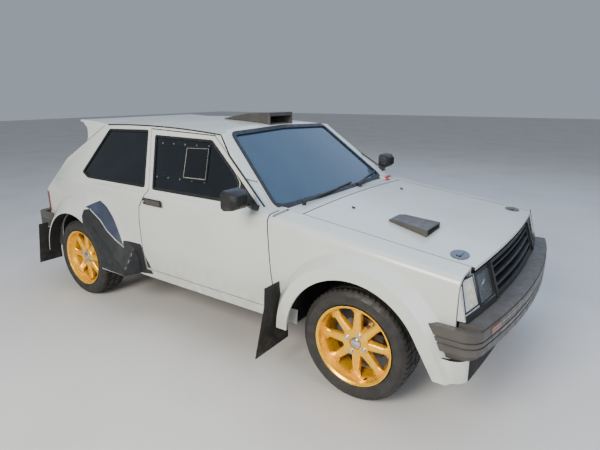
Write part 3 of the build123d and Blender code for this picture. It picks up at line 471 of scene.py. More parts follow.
recolour(shell, underseal, takes_underseal)
recolour(shell, black_film, lambda centre, normal: -600 < centre.x < -495 and 300 < centre.z < 545
         and normal.x > 0.6 and abs(centre.y) > 740)
# Painted shade: the faces in the door gaps are made black, so the gaps read dark.
recolour(shell, seal_rubber, in_shaded_door_gap)
# Painted shade: the bonnet's side edge faces are made black, so the gaps beside it read dark.
recolour(panels["bonnet"], seal_rubber, lambda centre, normal: abs(normal.y) > 0.8 and abs(centre.y) > 500)
# Painted shade: the middle of the front spoiler is made black, so it reads as the shade under the bumper.
recolour(panels["front_spoiler"], underseal, lambda centre, normal: abs(centre.y) < 742)
for hand, _ in SIDES:
    # Painted shade: the door's edge faces below the belt are made black, so its shut lines read dark.
    recolour(panels[f"door_{hand}"], seal_rubber, lambda centre, normal: abs(normal.y) < 0.3
             and centre.z < 884 and not -345 <= centre.x <= 630)
    recolour(panels[f"fender_{hand}"], underseal,
             lambda centre, normal: normal.y * math.copysign(1, centre.y) < -0.3 and centre.z < 880)

# %% [markdown]
# Everything else that keeps its CAD form only needs its own material and slightly eased edges. The
# scoop and the duct are rounder along their length, so those edges get a wider round first.

# %% Plastic, steel and running gear
for node in ("roof_scoop", "bonnet_duct"):
    form = merged_copy(node)
    round_off(form, [e for e in form.edges if e.is_convex and e.calc_length() > 60 * MM
                     and abs((e.verts[0].co - e.verts[1].co).normalized().x) > 0.8
                     and e.calc_face_angle(0) > 0.8], 7, 4)
    dress(node, dark_plastic, 1, form)
plain_finishes = (
    (dark_plastic, "front_bumper rear_bumper"),
    (black_plastic, "mirror_left mirror_right grille headlamps wipers dashboard seats"),
    (clear_lens, "corner_lamps"), (red_lens, "tail_lamps"), (screen_glass, "windscreen"),
    (side_plastic, "tailgate_window quarter_windows door_window_left door_window_right"),
    (flap_rubber, "mudflaps"), (iron, "engine"), (cast_alloy, "transmission"), (fin_core, "radiator"),
    (exhaust_steel, "exhaust"), (chassis_paint, "front_subframe rear_axle knuckle_left knuckle_right"),
    (cage_paint, "roll_cage"), (suede, "steering_wheel"),
)
edges_kept = (screen_glass, side_plastic, clear_lens, red_lens, cage_paint)
for material, names in plain_finishes:
    for node in names.split():
        dress(node, material, 0 if material in edges_kept else 1.5)
print(len(plain_finishes), "plain finishes")

# %% [markdown]
# Many small things on a car lie on a panel: seals, films, catches, buttons. Each starts as a flat
# outline in two coordinates, has its corners rounded by a bevel, may keep only a band along its
# edge, and is cut into short strips so that it can bend. It is then laid on the panel, either by
# the formula that the glass was drawn with or by a ray cast at the panel itself.

# %% Laying flat shapes on the car
def box(low_a, low_b, high_a, high_b):
    """The outline of a rectangle."""
    return [(low_a, low_b), (high_a, low_b), (high_a, high_b), (low_a, high_b)]


def arc(a, b, radius_a, radius_b, turns):
    """Points of an ellipse round (a, b), at these turns in degrees."""
    return [(a + radius_a * math.cos(math.radians(turn)), b + radius_b * math.sin(math.radians(turn)))
            for turn in turns]


def flat_plate(outline, thick_mm, corner_mm, band_mm, step_mm):
    """A plate from an outline of two coordinates, its thickness along Z."""
    bm = bmesh.new()
    bm.faces.new([bm.verts.new(mm(a, b, 0)) for a, b in outline])
    bmesh.ops.recalc_face_normals(bm, faces=bm.faces)
    if corner_mm:
        round_off(bm, bm.verts[:], corner_mm, 4, "VERTICES")
    if band_mm:
        rim = bmesh.ops.inset_region(bm, faces=bm.faces[:], thickness=band_mm * MM, use_even_offset=True,
                                     use_boundary=True)
        bmesh.ops.delete(bm, geom=[face for face in bm.faces if face not in rim["faces"]], context="FACES")
    for axis in (0, 1):
        values = [vert.co[axis] for vert in bm.verts]
        cuts = int((max(values) - min(values)) / (step_mm * MM))
        for cut in range(1, cuts + 1):
            spot, normal = Vector(), Vector()
            spot[axis] = min(values) + (max(values) - min(values)) * cut / (cuts + 1)
            normal[axis] = 1
            bmesh.ops.bisect_plane(bm, geom=bm.verts[:] + bm.edges[:] + bm.faces[:], plane_co=spot,
                                   plane_no=normal)
    top = bmesh.ops.extrude_face_region(bm, geom=bm.faces[:])
    bmesh.ops.translate(bm, verts=[item for item in top["geom"] if isinstance(item, bmesh.types.BMVert)],
                        vec=mm(0, 0, thick_mm))
    return bm


def laid(name, outline, place, material, body, slot_name, thick=3, lift=0, corner=0, band=0, step=80, ease=0):
    """A finished piece from an outline laid on a panel. Place turns (a, b, height) into x, y, z."""
    bm = flat_plate(outline, thick, corner, band, step)
    for vert in bm.verts:
        a, b, height = vert.co / MM
        vert.co = mm(*place(a, b, height + lift))
    bmesh.ops.recalc_face_normals(bm, faces=bm.faces)
    return finish_piece(name, bm, material, body, slot_name, ease)


def side_plane(side, inset=0):
    """Places on the leaning side of the glasshouse, from x and z. Out runs along its normal."""
    def place(x, z, out):
        half = HALF_AT_BELT - TUMBLE * (z - BELT_Z) - inset * 1.1
        return x, side * (half + out * 0.91), z + out * 0.41
    return place


def screen_plane(inset):
    """Places on the windscreen, from y and z. Out runs along the normal of its middle."""
    def place(y, z, out):
        half = HALF_AT_BELT - TUMBLE * (z - BELT_Z)
        x = SCREEN_BASE_X - SCREEN_SLOPE * (z - BELT_Z) + SCREEN_BOW * (1 - (y / half) ** 2) - inset * 1.52
        return x + out * 0.65, y, z + out * 0.76
    return place


def nose_plane(y, z, out):
    """Places on the raked nose behind the lamps and the grille, from y and z."""
    share = (z - NOSE_FOOT_Z) / NOSE_TALL
    middle, end = 1732 - 64 * share, 1668 - 43 * share
    return middle - (middle - end) * (y / NOSE_HALF) ** 2 + out, y, z


def bumper_face(y, z, out):
    """Places on the face of the front bumper, from y and z."""
    return BUMPER_X - BUMPER_SWEEP * (y / BUMPER_HALF) ** 2 + out, y, z


def cast(names, direction):
    """Places on the CAD surface of some nodes, met by a ray along a direction from far outside."""
    bm = bmesh.new()
    for name in names.split():
        bm.from_mesh(nodes[name].data)
    tree = BVHTree.FromBMesh(bm)
    bm.free()
    ray = Vector(direction)

    def place(a, b, out):
        flat = (a, b, 0) if direction[2] else (a, 0, b)
        hit = tree.ray_cast(mm(*flat) - ray * 4, ray)[0]
        return flat if hit is None else (hit - ray * out * MM) / MM
    return place


def pin(bm, start, end, radius_mm, segments):
    """A round pin between two points in millimetres."""
    run = mm(*end) - mm(*start)
    turn = run.to_track_quat("Z", "Y").to_matrix().to_4x4()
    bmesh.ops.create_cone(bm, cap_ends=True, segments=segments, radius1=radius_mm * MM,
                          radius2=radius_mm * MM, depth=run.length,
                          matrix=Matrix.Translation((mm(*start) + mm(*end)) / 2) @ turn)


def turned(bm, profile, steps, close=True):
    """Spins a profile of (outward, radius) in millimetres round a wheel's axis, which is Y."""
    verts = [bm.verts.new(mm(0, -out, radius)) for out, radius in profile]
    ends = verts[1:] + verts[:1] if close else verts[1:]
    edges = [bm.edges.new(pair) for pair in zip(verts, ends)]
    bmesh.ops.spin(bm, geom=verts + edges, axis=(0, 1, 0), cent=(0, 0, 0), steps=steps,
                   angle=math.tau, use_merge=True)
    bmesh.ops.remove_doubles(bm, verts=bm.verts, dist=0.01 * MM)
    bmesh.ops.recalc_face_normals(bm, faces=bm.faces)


def bent_bar(name, points, radius_mm, material, body, slot_name):
    """A round bar, wire or rail along points, from a bevelled curve turned into a mesh."""
    curve = bpy.data.curves.new(name, "CURVE")
    curve.dimensions = "3D"
    curve.bevel_depth = radius_mm * MM
    curve.bevel_resolution = 2
    curve.use_fill_caps = True
    spline = curve.splines.new("POLY")
    spline.points.add(len(points) - 1)
    for point, spot in zip(spline.points, points):
        point.co = (*mm(*spot), 1)
    temporary = bpy.data.objects.new(name, curve)
    bm = bmesh.new()
    bm.from_mesh(temporary.to_mesh())
    bmesh.ops.remove_doubles(bm, verts=bm.verts, dist=0.01 * MM)
    bmesh.ops.recalc_face_normals(bm, faces=bm.faces)
    temporary.to_mesh_clear()
    bpy.data.objects.remove(temporary)
    bpy.data.curves.remove(curve)
    finish_piece(name, bm, material, body, slot_name)


print("laying tools ready")

# %% [markdown]
# Windows. The screen sits in a black rubber seal with rounded corners. The side windows are plastic
# sheets held by a rubber strip, and each door has a sliding pane between two rails with small pale
# screws. The sliding pane's opening is covered by a near-black sheet, painted shade of the dark cabin
# behind it.

# %% Windscreen seal
screen_outline = [(-634, 876), (-499, 1249), (0, 1265), (499, 1249), (634, 876), (548, 861), (-548, 861)]
laid("windscreen_seal", screen_outline, screen_plane(GLASS_INSET), seal_rubber, "root", "black_trim",
     thick=9, lift=0.5, corner=34, band=21, step=60, ease=2)

# %% Side window seals, screws and the sliding pane
door_glass = [(-420, 1216), (-308, 893), (415, 892), (393, 1000), (346, 1045), (102, 1208)]
quarter_glass = [(-930, 1236), (-1115, 932), (-1030, 900), (-384, 897), (-500, 1244)]
pane = [(-98, 1156), (90, 1161), (128, 989), (-63, 986)]
sail = [(420, 896), (401, 1001), (354, 1044), (560, 902), (545, 894)]
# Ends of the upper and the lower row of screws, and how far the rail lies above its row.
screw_rows = (((-330, 1171), (84, 1173), -8), ((-300, 972), (122, 977), 8))
for hand, side in SIDES:
    door = f"door_{hand}"
    glass = side_plane(side, GLASS_INSET)
    for name, outline, body in (("door", door_glass, door), ("quarter", quarter_glass, "root")):
        laid(f"{name}_glass_seal_{hand}", outline, glass, seal_rubber, body, "black_trim",
             thick=6.5, lift=0.3, corner=14, band=15, step=90, ease=1)
    # Painted shade: a near-black sheet over the sliding pane's opening.
    laid(f"sliding_pane_{hand}", pane, glass, opening_painted_shade, door, "side_window_plastic",
         thick=1.5, lift=0.4, corner=4)
    laid(f"sliding_pane_edge_{hand}", pane, glass, pale_trim_and_painted_highlight, door, "side_window_plastic",
         thick=2.2, lift=0.4, corner=4, band=4)
    screws = bmesh.new()
    for row, (start, end, rise) in enumerate(screw_rows):
        for share in range(5):
            spot = Vector(start).lerp(Vector(end), share / 4)
            pin(screws, glass(*spot, -1), glass(*spot, 1.2), 6, 14)
            pin(screws, glass(*spot, 1), glass(*spot, 2.6), 6 * 0.55, 10)
        ends = [glass(x, z + rise, 2.5) for x, z in (start, end)]
        bent_bar(f"sliding_pane_rail_{row}_{hand}", ends, 2, black_plastic, door, "side_window_plastic")
    finish_piece(f"sliding_pane_screws_{hand}", screws, chrome, door, "side_window_plastic")
    laid(f"mirror_sail_{hand}", sail, side_plane(side), black_plastic, door, "black_trim",
         thick=4, lift=-0.6, corner=5, ease=1)
hatch = [(-1034, -478), (-1362, -572), (-1362, 572), (-1034, 478)]
laid("tailgate_window_seal", hatch, cast("tailgate tailgate_window", (0, 0, -1)), seal_rubber,
     "tailgate", "black_trim", thick=4, lift=1, corner=30, band=24, step=60)
print("windows trimmed")

# %% [markdown]
# Doors and roof edge. Each door has a black flap handle with a lock. A black drip rail runs along
# the roof edge and carries rain past the doors.

# %% Handles and drip rails
for hand, side in SIDES:
    def flap_plane(x, z, out):
        """Places on the door's upright skin, from x and z."""
        return x, side * (768 + out), z

    door = f"door_{hand}"
    laid(f"door_handle_plate_{hand}", [(-352, 806), (-350, 848), (-174, 846), (-170, 803)], flap_plane,
         black_plastic, door, "dark_plastic", thick=4, corner=8, ease=1)
    laid(f"door_handle_flap_{hand}", [(-322, 812), (-320, 842), (-184, 840), (-181, 809)], flap_plane,
         dark_plastic, door, "dark_plastic", thick=6, lift=3.5, corner=6, ease=1.5)
    lock = bmesh.new()
    pin(lock, (-337, side * 770, 826), (-337, side * 775, 826), 8, 24)
    pin(lock, (-337, side * 775, 826), (-337, side * 775.6, 826), 5, 24)
    finish_piece(f"door_lock_{hand}", lock, chrome, door, "dark_plastic")
    rail = []
    for x in range(-960, 161, 80):
        # The roof meets the side where both formulas agree, which repeating them finds.
        y = 560
        for _ in range(6):
            z = 1306 - (x + 600) ** 2 / 20000 - y ** 2 / 10000
            y = HALF_AT_BELT - TUMBLE * (z - BELT_Z)
        rail.append((x, side * (y + 1), z - 5))
    for x in (260, 370, 480, 590):
        z = 1234 - (x - 111) * 0.69
        rail.append(side_plane(side)(x + 12, z, 2.5))
    bent_bar(f"drip_rail_{hand}", rail, 5, seal_rubber, "root", "black_trim")

# %% [markdown]
# Mirrors: the moulded heads have upright ribs on their front and a silvered glass behind. The glass
# lies in the shallow recess that the CAD head has.

# %% Mirror ribs and glass
for hand, side in SIDES:
    def glass_plane(y, z, out):
        """Places on the rear of the mirror head, from the distance off the middle and z."""
        return 510 - out, side * y, z

    ribs = bmesh.new()
    for y in range(830, 903, 12):
        pin(ribs, (583, side * y, 933), (583, side * y, 985), 2.2, 8)
    finish_piece(f"mirror_ribs_{hand}", ribs, black_plastic, f"door_{hand}", "dark_plastic")
    laid(f"mirror_glass_{hand}", box(801, 918, 931, 1000), glass_plane, mirror_glass, f"door_{hand}",
         "dark_plastic", thick=2, corner=12)

# %% [markdown]
# Lamps. Behind each headlamp's fluted glass there is a coated reflector with a bright bulb cap. The
# bumper has a small faded lamp near each end of its face, and two pale strips along it that are
# painted highlights of its grooves. A pale strip under each headlamp is a painted highlight on the
# lamp sill's top edge.

# %% Headlamps and bumper lamps
headlamp = box(432, 588, 576, 708)
highlight_strip_form = dict(thick=1.6, lift=-0.4, step=40)
on_nose = (
    ("headlamp_reflector", headlamp, reflector, "lamp_frame", dict(thick=1.5, lift=-13.5, corner=10)),
    ("headlamp_glass", headlamp, lamp_glass, "clear_lens", dict(lift=-6, corner=8, ease=1)),
    # Painted highlight: a pale strip along the top edge of the lamp sill.
    ("headlamp_lower_trim", box(428, 578, 582, 584), pale_trim_and_painted_highlight, "lamp_frame",
     dict(thick=2, lift=0.2, step=40)),
    ("corner_lamp_frame", [(606, 594), (738, 594), (724, 735), (612, 728)], black_plastic, "lamp_frame",
     dict(lift=-1, band=7, ease=1)),
    ("corner_lamp_step", [(626, 606), (700, 606), (684, 712), (642, 708)], lens_step, "clear_lens",
     dict(thick=2.5, lift=-0.5, corner=5, ease=1)),
    ("lamp_sill", [(428, 561), (742, 561), (742, 590), (428, 584)], black_plastic, "lamp_frame",
     dict(lift=2.5, ease=1)),
)
on_bumper = (
    ("bumper_lamp", box(575, 505, 668, 535), amber_plastic, "dark_plastic",
     dict(lift=-0.5, corner=4, ease=1)),
    # Painted highlights: pale strips along the bumper's two grooves.
    ("bumper_ridge_480", box(112, 480, 560, 485), pale_trim_and_painted_highlight, "dark_plastic", highlight_strip_form),
    ("bumper_ridge_520", box(112, 520, 560, 525), pale_trim_and_painted_highlight, "dark_plastic", highlight_strip_form),
)
for hand, side in SIDES:
    for place, rows in ((nose_plane, on_nose), (bumper_face, on_bumper)):
        for name, outline, material, slot_name, sizes in rows:
            laid(f"{name}_{hand}", [(side * y, z) for y, z in outline], place, material, "root", slot_name,
                 **{"step": 30, **sizes})
    bulb = bmesh.new()
    turned(bulb, [(0.006, 30), (2.4, 28), (4.2, 22), (5.4, 12), (5.7, 0.01)], 32, close=False)
    bmesh.ops.rotate(bulb, verts=bulb.verts, matrix=Matrix.Rotation(math.pi / 2, 3, "Z"))
    bmesh.ops.translate(bulb, verts=bulb.verts, vec=mm(*nose_plane(side * 504, 648, -12)))
    finish_piece(f"headlamp_bulb_cap_{hand}", bulb, chrome, "root", "lamp_frame")
print("lamps lit")

# %% [markdown]
# Stone-chip film: slate on the top of each rear arch, black from its edge down to the tyre and on
# over the sill and the foot of the door. A pale line where the two films meet is a painted
# highlight of the flare's fold.

# %% Films on the rear arches
meeting = [(-908, 704), (-808, 639), (-737, 572), (-659, 519), (-587, 477)]
arch_edge = arc(-AXLE_X, ARCH_Z, ARCH_R, ARCH_R, (2, 10, 20, 28, 36, 44, 52, 60))
films = {
    "arch_top": [(-963, 713), (-827, 769), (-761, 726), (-712, 673), (-672, 611), (-629, 547)]
                + meeting[::-1],
    "arch_lip": [(-972, 694)] + meeting + [(-536, 345), (-546, 298)] + arch_edge,
    "sill": [(-602, 520), (-434, 522), (-422, 500), (-424, 344), (-376, 343), (-363, 318), (-502, 299),
             (-550, 298), (-550, 345), (-589, 474)],
}
fold_highlight_line = meeting + [(x + 3, z + 5) for x, z in reversed(meeting)]
for hand, side in SIDES:
    panel = cast("body_sides", (0, -side, 0))
    for name, outline in films.items():
        laid(f"{name}_film_{hand}", outline, panel, film if name == "arch_top" else black_film, "root",
             "body_paint", thick=0.6, lift=1.6, corner=2, step=9)
    laid(f"door_film_{hand}", [(-409, 440), (-372, 358), (-409, 358)], cast(f"door_{hand}", (0, -side, 0)),
         black_film, f"door_{hand}", "body_paint", thick=0.6, lift=0.5, corner=1, step=18)
    # Painted highlight of the flare's fold, laid where the two films meet.
    laid(f"film_edge_{hand}", fold_highlight_line, panel, fold_painted_highlight, "root", "body_paint", thick=0.5, lift=2.3, step=9)

# %% [markdown]
# The wing's rear edge is folded round to the door gap, so a narrow painted strip closes the room
# between the wing and the shell.

# %% Folded wing edges
WING_SPOT, DOOR_SPOT = 690, 625
for hand, side in SIDES:
    wing = cast(f"fender_{hand}", (0, -side, 0))
    door = cast(f"door_{hand}", (0, -side, 0))

    def folded_edge(x, z, out):
        """Between the wing and the door, level with both."""
        ahead, behind = abs(wing(WING_SPOT, z, 0)[1]), abs(door(DOOR_SPOT, z, 0)[1])
        share = (x - DOOR_SPOT) / (WING_SPOT - DOOR_SPOT)
        return x, side * (behind + (ahead - behind) * share + out), z

    laid(f"wing_edge_{hand}", [(681, 486), (677.5, 492), (668, 570), (648.5, 862), (681, 862)], folded_edge,
         body_paint, "root", "body_paint", thick=1.4, lift=-1.2, step=25)

# %% [markdown]
# Bonnet fittings: a pair of oval quick-release catches near the front corners, two washer jets and
# the red pull of the battery cut-off in front of the screen.

# %% Catches, jets and cut-off pull
bonnet_top = cast("bonnet", (0, 0, -1))
for hand, side in SIDES:
    laid(f"bonnet_catch_{hand}", arc(1558, side * 520, 41, 56, range(0, 360, 15)), bonnet_top,
         catch_plastic, "bonnet", "black_trim", thick=3.5, lift=0.2, step=20, ease=1.5)
    laid(f"bonnet_catch_lever_{hand}", box(1547, side * 486, 1569, side * 546), bonnet_top, catch_plastic,
         "bonnet", "black_trim", thick=5, lift=3, corner=9, step=30, ease=1.2)
    jets = bmesh.new()
    spot = Vector(bonnet_top(908, side * 323, 0))
    pin(jets, spot, spot + Vector((0, 0, 7)), 9, 20)
    pin(jets, spot + Vector((-4, 0, 7)), spot + Vector((-9, 0, 11)), 4, 12)
    finish_piece(f"washer_jet_{hand}", jets, black_plastic, "bonnet", "black_trim", 1)
pull = bmesh.new()
pin(pull, (708, 530, 868), (708, 530, 878), 15, 24)
pin(pull, (708, 530, 878), (708, 530, 890), 5, 16)
bmesh.ops.create_cube(pull, size=1, matrix=Matrix.Translation(mm(708, 530, 892)) @ Matrix.Diagonal(
    (*mm(14, 70, 9), 1)))
finish_piece("cut_off_pull", pull, red_plastic, "root", "black_trim", 1.5)

# %% [markdown]
# A tyre is a turned form, so it starts as a profile spun round the axle. The tread is cut by
# pushing blocks of faces inwards: three grooves run round it in the profile, and short side grooves
# come from every fourth step of the spin. A twist that grows towards the shoulders gives the side
# grooves their slant.

# %% Tyres
TREAD_STEPS = 240
GROOVE_DEPTH = 6.5
CROWN = 1.8
TREAD_RIBS = [(-TREAD_HALF, -50), (-41, -5), (5, 41), (50, TREAD_HALF)]


def wheel_piece(name, bm, centre, side, material, body, slot_name="gold_alloy", **finish):
    """Turns a piece to its side of the car, moves it to its hub and finishes it."""
    if side > 0:
        bmesh.ops.rotate(bm, verts=bm.verts, matrix=Matrix.Rotation(math.pi, 3, "Z"))
    bmesh.ops.translate(bm, verts=bm.verts, vec=centre)
    finish_piece(name, bm, material, body, slot_name, **finish)


def tyre_profile():
    """Closed outline of a low-profile tyre with three grooves round its tread."""
    sidewall = [(88, 210), (93, 213), (95, 219), (96.6, 220), (96.9, 222.5), (96, 224), (98.6, 236),
                (99.4, 246), (99.2, 254), (100, 255.5), (99.8, 259), (98, 261), (93.5, 271), (87, 279),
                (81, 283.5)]
    tread = []
    for rib, ends in enumerate(TREAD_RIBS):
        start, end = [(out, TYRE_R - (out / TREAD_HALF) ** 2 * CROWN) for out in ends]
        tread += [start, end]
        if rib < len(TREAD_RIBS) - 1:
            floor_r = end[1] - GROOVE_DEPTH
            tread += [(end[0] + 1.2, floor_r), (TREAD_RIBS[rib + 1][0] - 1.2, floor_r)]
    left = [(-out, radius) for out, radius in sidewall]
    return left + tread + sidewall[::-1]


def make_tyre(name, centre, side, body):
    """One treaded tyre. Side is -1 on the right, where the outer face looks towards -Y."""
    bm = bmesh.new()
    turned(bm, tyre_profile(), TREAD_STEPS)
    blocks = []
    for face in bm.faces:
        middle = face.calc_center_median() / MM
        radius = math.hypot(middle.x, middle.z)
        across = abs(middle.y)
        step = round((math.atan2(middle.z, middle.x) / math.tau) * TREAD_STEPS - 0.5) % TREAD_STEPS
        outer_rib = radius > 279 and 50 < across < 90 and step % 4 == 0
        inner_rib = radius > 286 and 5 < across < 41 and step % 8 == (2 if middle.y > 0 else 6)
        if outer_rib or inner_rib:
            blocks.append(face)
    cut = bmesh.ops.extrude_face_region(bm, geom=blocks)
    bmesh.ops.delete(bm, geom=blocks, context="FACES")
    for vert in [item for item in cut["geom"] if isinstance(item, bmesh.types.BMVert)]:
        inwards = Vector((-vert.co.x, 0, -vert.co.z)).normalized()
        vert.co += inwards * (GROOVE_DEPTH - 1.5) * MM
    for vert in bm.verts:
        across = min(abs(vert.co.y) / MM / TREAD_HALF, 1.1)
        if math.hypot(vert.co.x, vert.co.z) > 270 * MM:
            vert.co = Matrix.Rotation(math.radians(5.5) * across, 3, "Y") @ vert.co
    bmesh.ops.recalc_face_normals(bm, faces=bm.faces)
    wheel_piece(name, bm, centre, side, tyre_rubber, body, "tyre", angle=math.radians(30),
                stands_for=[body.replace("wheel", "tyre")])


# %% [markdown]
# The wheel is a cast eight-spoke pattern. The barrel and hub are turned, one spoke is shaped from a
# stretched cube and copied round by a spin, and the nuts, cap and valve are separate pieces. The
# brake disc turns with the wheel, so it is part of the same body.

# %% Wheels
SPOKES = 8
SPOKE_ROOT = 50
SPOKE_Y = -38
HUB_FACE = 58
NUT_CIRCLE = 52
NUT_TURN = 67


def spoke(bm):
    """One spoke, tapered to the rim, with a foot there and a domed outer side."""
    bmesh.ops.create_cube(bm, size=1)
    length, wide, thick = 138, 46, 30
    bmesh.ops.scale(bm, verts=bm.verts, vec=mm(length, thick, wide))
    bmesh.ops.translate(bm, verts=bm.verts, vec=mm(SPOKE_ROOT + length / 2, SPOKE_Y, 0))
    long_edges = [e for e in bm.edges if abs((e.verts[0].co - e.verts[1].co).x) > 100 * MM]
    bmesh.ops.subdivide_edges(bm, edges=long_edges, cuts=7, use_grid_fill=True)
    for vert in bm.verts:
        along_it = (vert.co.x / MM - SPOKE_ROOT) / length
        vert.co.z *= 1.08 - 0.36 * along_it + (0.3 if along_it > 0.95 else 0)
        if vert.co.y < SPOKE_Y * MM:
            vert.co.y += (6 * along_it - 3 + 14 * max(0, along_it - 0.8)) * MM
    crown = [e for e in bm.edges if abs((e.verts[0].co - e.verts[1].co).x) > 10 * MM
             and max(e.verts[0].co.y, e.verts[1].co.y) < SPOKE_Y * MM]
    round_off(bm, crown, 14, 5)


def make_wheel(name, centre, side, body):
    """Barrel, hub and spokes in one piece, with separate nuts, cap, valve and disc."""
    bm = bmesh.new()
    spoke(bm)
    bmesh.ops.spin(bm, geom=bm.verts[:] + bm.edges[:] + bm.faces[:], axis=(0, 1, 0), cent=(0, 0, 0),
                   steps=SPOKES - 1, angle=math.tau * (SPOKES - 1) / SPOKES, use_duplicate=True)
    turned(bm, [(95, 207), (95, 202), (92, 198.5), (88, 193.5), (60, 190), (52, 184), (30, 181), (-30, 172),
                (-50, 184), (-86, 188), (-95, 200), (-95, 207), (-91, 206), (-84, 194), (-50, 189.5),
                (-29, 176), (28, 184), (50, 190), (84, 195), (91, 206)], 96)
    turned(bm, [(0.01, 0.01), (0.01, 74), (20, 71), (HUB_FACE - 5, 72), (HUB_FACE, 68), (HUB_FACE, 33),
                (HUB_FACE - 8, 31), (HUB_FACE - 8, 0.01)], 64, close=False)
    wheel_piece(name, bm, centre, side, gold, body, stands_for=[body])
    nuts = bmesh.new()
    for x, z in arc(0, 0, NUT_CIRCLE, NUT_CIRCLE, range(NUT_TURN, 360, 90)):
        pin(nuts, (x, -HUB_FACE - 1, z), (x, -HUB_FACE - 13, z), 9.5, 6)
        pin(nuts, (x, -HUB_FACE + 1, z), (x, -HUB_FACE - 1.5, z), 13, 24)
    turned(nuts, [(HUB_FACE - 8, 0.01), (HUB_FACE - 8, 29), (HUB_FACE, 27), (HUB_FACE + 4, 20),
                  (HUB_FACE + 6, 0.01)], 48, close=False)
    wheel_piece(f"{name}_nuts", nuts, centre, side, chrome, body, ease=1)
    valve = bmesh.new()
    pin(valve, (70, -64, -165), (68, -88, -160), 4, 12)
    wheel_piece(f"{name}_valve", valve, centre, side, black_plastic, body)
    disc = bmesh.new()
    turned(disc, [(-27, 40), (-27, 114), (-16, 114), (-16, 72), (1, 68), (1, 40)], 64)
    wheel_piece(f"{name}_disc", disc, centre, side, disc_steel, body)


for end, x, face_y in (("front", AXLE_X, FRONT_FACE_Y), ("rear", -AXLE_X, REAR_FACE_Y)):
    for hand, side in SIDES:
        centre = mm(x, side * (face_y - RIM_HALF), HUB_Z)
        body = f"wheel_{end}_{hand}"
        make_tyre(f"treaded_tyre_{end}_{hand}", centre, side, body)
        make_wheel(f"spoked_wheel_{end}_{hand}", centre, side, body)
print("four wheels dressed")

# %% [markdown]
# Coil springs sit round the struts and the dampers. A helix of points is bent into wire.

# %% Coil springs
SPRING_STEPS = 96
SPRING_TURNS = 5


def coil(name, low, high, radius, wire, body):
    """A spring wound round the line between two points, whose turns lie level."""
    shares = [step / SPRING_STEPS for step in range(SPRING_STEPS + 1)]
    ring = arc(0, 0, radius, radius, [360 * SPRING_TURNS * share for share in shares])
    points = [Vector(low).lerp(Vector(high), share) + Vector((*spot, 0)) for share, spot in zip(shares, ring)]
    bent_bar(name, points, wire, spring_paint, body, "chassis_steel")


for hand, side in SIDES:
    coil(f"front_spring_{hand}", (1142, side * 492, 664), (1140, side * 461, 772), 52, 5.5, f"knuckle_{hand}")
    coil(f"rear_spring_{hand}", (-1210, side * 440, 270), (-1210, side * 440, 450), 46, 6, "root")

# %% [markdown]
# Seats. Each hard shell carries a base cushion and a back cushion. A pad starts as a block a little
# smaller than its room, is remeshed into even small faces and blown up by the cloth solver, which
# pulls its sides in between its corners. Both seats are alike, so one seat is simulated and copied.

# %% Seat pads
PRESSURE = 4
MOST_SWELL = 12
CLOTH_FRAMES = 20
BACK_PAD = (-112, 760)


def applied(obj):
    """Puts what an object's modifiers make in place of its mesh."""
    evaluated = obj.evaluated_get(bpy.context.evaluated_depsgraph_get())
    mesh = bpy.data.meshes.new_from_object(evaluated)
    obj.modifiers.clear()
    obj.data = mesh


def inflated(name, size_mm):
    """A pad blown up from a block by the cloth solver, about its own middle."""
    bm = bmesh.new()
    bmesh.ops.create_cube(bm, size=1, matrix=Matrix.Diagonal((*mm(*size_mm), 1)))
    round_off(bm, bm.edges[:], 14, 3)
    obj = add_object(name, bm)
    remesh = obj.modifiers.new("even", "REMESH")
    remesh.mode = "VOXEL"
    remesh.voxel_size = 6 * MM
    applied(obj)
    start = [vert.co.copy() for vert in obj.data.vertices]
    cloth = obj.modifiers.new("blown", "CLOTH")
    cloth.settings.use_pressure = True
    cloth.settings.uniform_pressure_force = PRESSURE
    cloth.settings.effector_weights.gravity = 0
    cloth.point_cache.frame_start = 1
    cloth.point_cache.frame_end = CLOTH_FRAMES
    for number in range(1, CLOTH_FRAMES + 1):
        scene.frame_set(number)
    applied(obj)
    scene.frame_set(1)
    for vert, spot in zip(obj.data.vertices, start):
        move = vert.co - spot
        if move.length > MOST_SWELL * MM:
            vert.co = spot + move.normalized() * MOST_SWELL * MM
    return obj


def set_pad(obj, name, middle, lean_deg, side):
    """A copy of a pad, leaned back and placed on one seat."""
    bm = bmesh.new()
    bm.from_mesh(obj.data)
    bmesh.ops.rotate(bm, verts=bm.verts, matrix=Matrix.Rotation(math.radians(lean_deg), 3, "Y"))
    bmesh.ops.translate(bm, verts=bm.verts, vec=mm(middle[0], side * SEAT_Y, middle[1]))
    pad = finish_piece(name, bm, seat_cloth, "root", "seat_fabric", angle=math.pi)


base_form = inflated("base_pad_form", (300, 330, 40))
back_form = inflated("back_pad_form", (40, 330, 470))
for hand, side in SIDES:
    set_pad(base_form, f"seat_base_pad_{hand}", (128, 486), -2, side)
    set_pad(back_form, f"seat_back_pad_{hand}", BACK_PAD, -20, side)
for form in (base_form, back_form):
    bpy.data.objects.remove(form)
print("seats padded")

# %% [markdown]
# Harness and dials. The straps are flat webbing that runs down the front of the seat back to the
# buckle.

# %% Harness and dials
for hand, side in SIDES:
    def strap_plane(a, b, out):
        """Runs down the front of the seat back; a is the distance across, b the height."""
        return BACK_PAD[0] - (b - BACK_PAD[1]) * 0.364 + 46 + out, side * SEAT_Y + a, b

    for row, across in enumerate((-75, 75)):
        waist = across * 0.35
        outline = [(waist - 22, 540), (waist + 22, 540), (across + 22, 985), (across - 22, 985)]
        laid(f"harness_strap_{row}_{hand}", outline, strap_plane, webbing, "root", "seat_fabric",
             thick=2.5, corner=3, step=60)
    laid(f"harness_buckle_{hand}", box(-30, 520, 30, 572), strap_plane, chrome, "root", "seat_fabric",
         thick=12, lift=3, corner=12, ease=2)
dials = bmesh.new()
for y, radius in ((-430, 22), (-350, 30), (-270, 22)):
    pin(dials, (404, y, 856), (398, y, 856), radius, 32)
finish_piece("instrument_rings", dials, chrome, "root", "black_trim", 1.5)

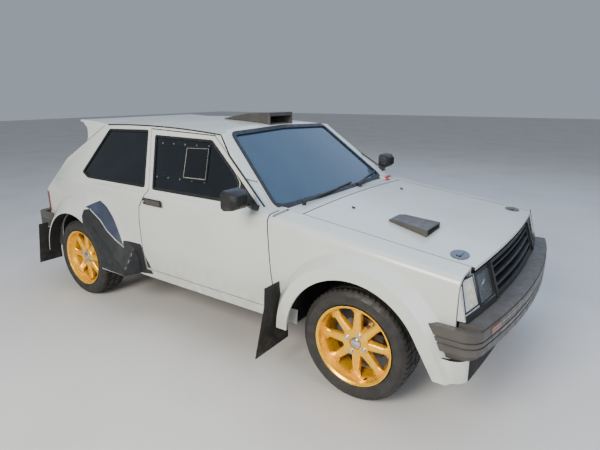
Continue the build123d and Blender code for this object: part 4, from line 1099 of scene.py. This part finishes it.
# %% [markdown]
# A plain pale floor, a soft key light from the left of the camera, a wide bluish light from above
# and a low sky. The camera stands where the photograph was taken from.

# %% Floor, light and camera
floor_mesh = bmesh.new()
bmesh.ops.create_grid(floor_mesh, x_segments=8, y_segments=8, size=30)
floor_paint = surface("pale_studio_floor", "#C9C7C3", 0.7, ("#BFBDB9", 900))
floor = add_object("studio_floor", floor_mesh)
floor.data.materials.append(floor_paint)


def area_light(name, spot, target, size, power, colour):
    """A soft square light that looks at a point."""
    data = bpy.data.lights.new(name, "AREA")
    data.size = size
    data.energy = power
    data.color = linear(colour)[:3]
    light = bpy.data.objects.new(name, data)
    light.location = spot
    light.rotation_euler = (Vector(target) - Vector(spot)).to_track_quat("-Z", "Y").to_euler()
    scene.collection.objects.link(light)


area_light("key", (0.9, -5.4, 3.4), (0.3, 0, 0.5), 2.4, 450, "#FFF7EA")
area_light("front_fill", (4.6, -1.5, 2.6), (0.5, 0, 0.5), 3.0, 100, "#F2F5FF")
area_light("top", (0.3, 2.0, 5.2), (0, 0, 0.5), 9.0, 330, "#BFD8FF")
world = bpy.data.worlds.new("studio")
world.use_nodes = True
sky = world.node_tree.nodes["Background"].inputs
sky["Color"].default_value = linear("#C8D4E2")
sky["Strength"].default_value = 0.55
scene.world = world

AZIMUTH, ELEVATION, ROLL = 35.464, 15.552, -0.34
CAMERA_SPOT = (2.1227, -2.5397, 1.4622)
FOCAL_PIXELS = 468.26
IMAGE_WIDTH = 600
az, el = math.radians(AZIMUTH), math.radians(ELEVATION)
backward = Vector((math.sin(az) * math.cos(el), -math.cos(az) * math.cos(el), math.sin(el)))
camera_data = bpy.data.cameras.new("camera")
camera_data.sensor_width = 36
camera_data.lens = FOCAL_PIXELS * 36 / IMAGE_WIDTH
camera = bpy.data.objects.new("camera", camera_data)
turn = backward.to_track_quat("Z", "Y").to_matrix() @ Matrix.Rotation(math.radians(ROLL), 3, "Z")
camera.matrix_world = Matrix.Translation(CAMERA_SPOT) @ turn.to_4x4()
scene.collection.objects.link(camera)
scene.camera = camera
print("lens", round(camera_data.lens, 1), "mm")
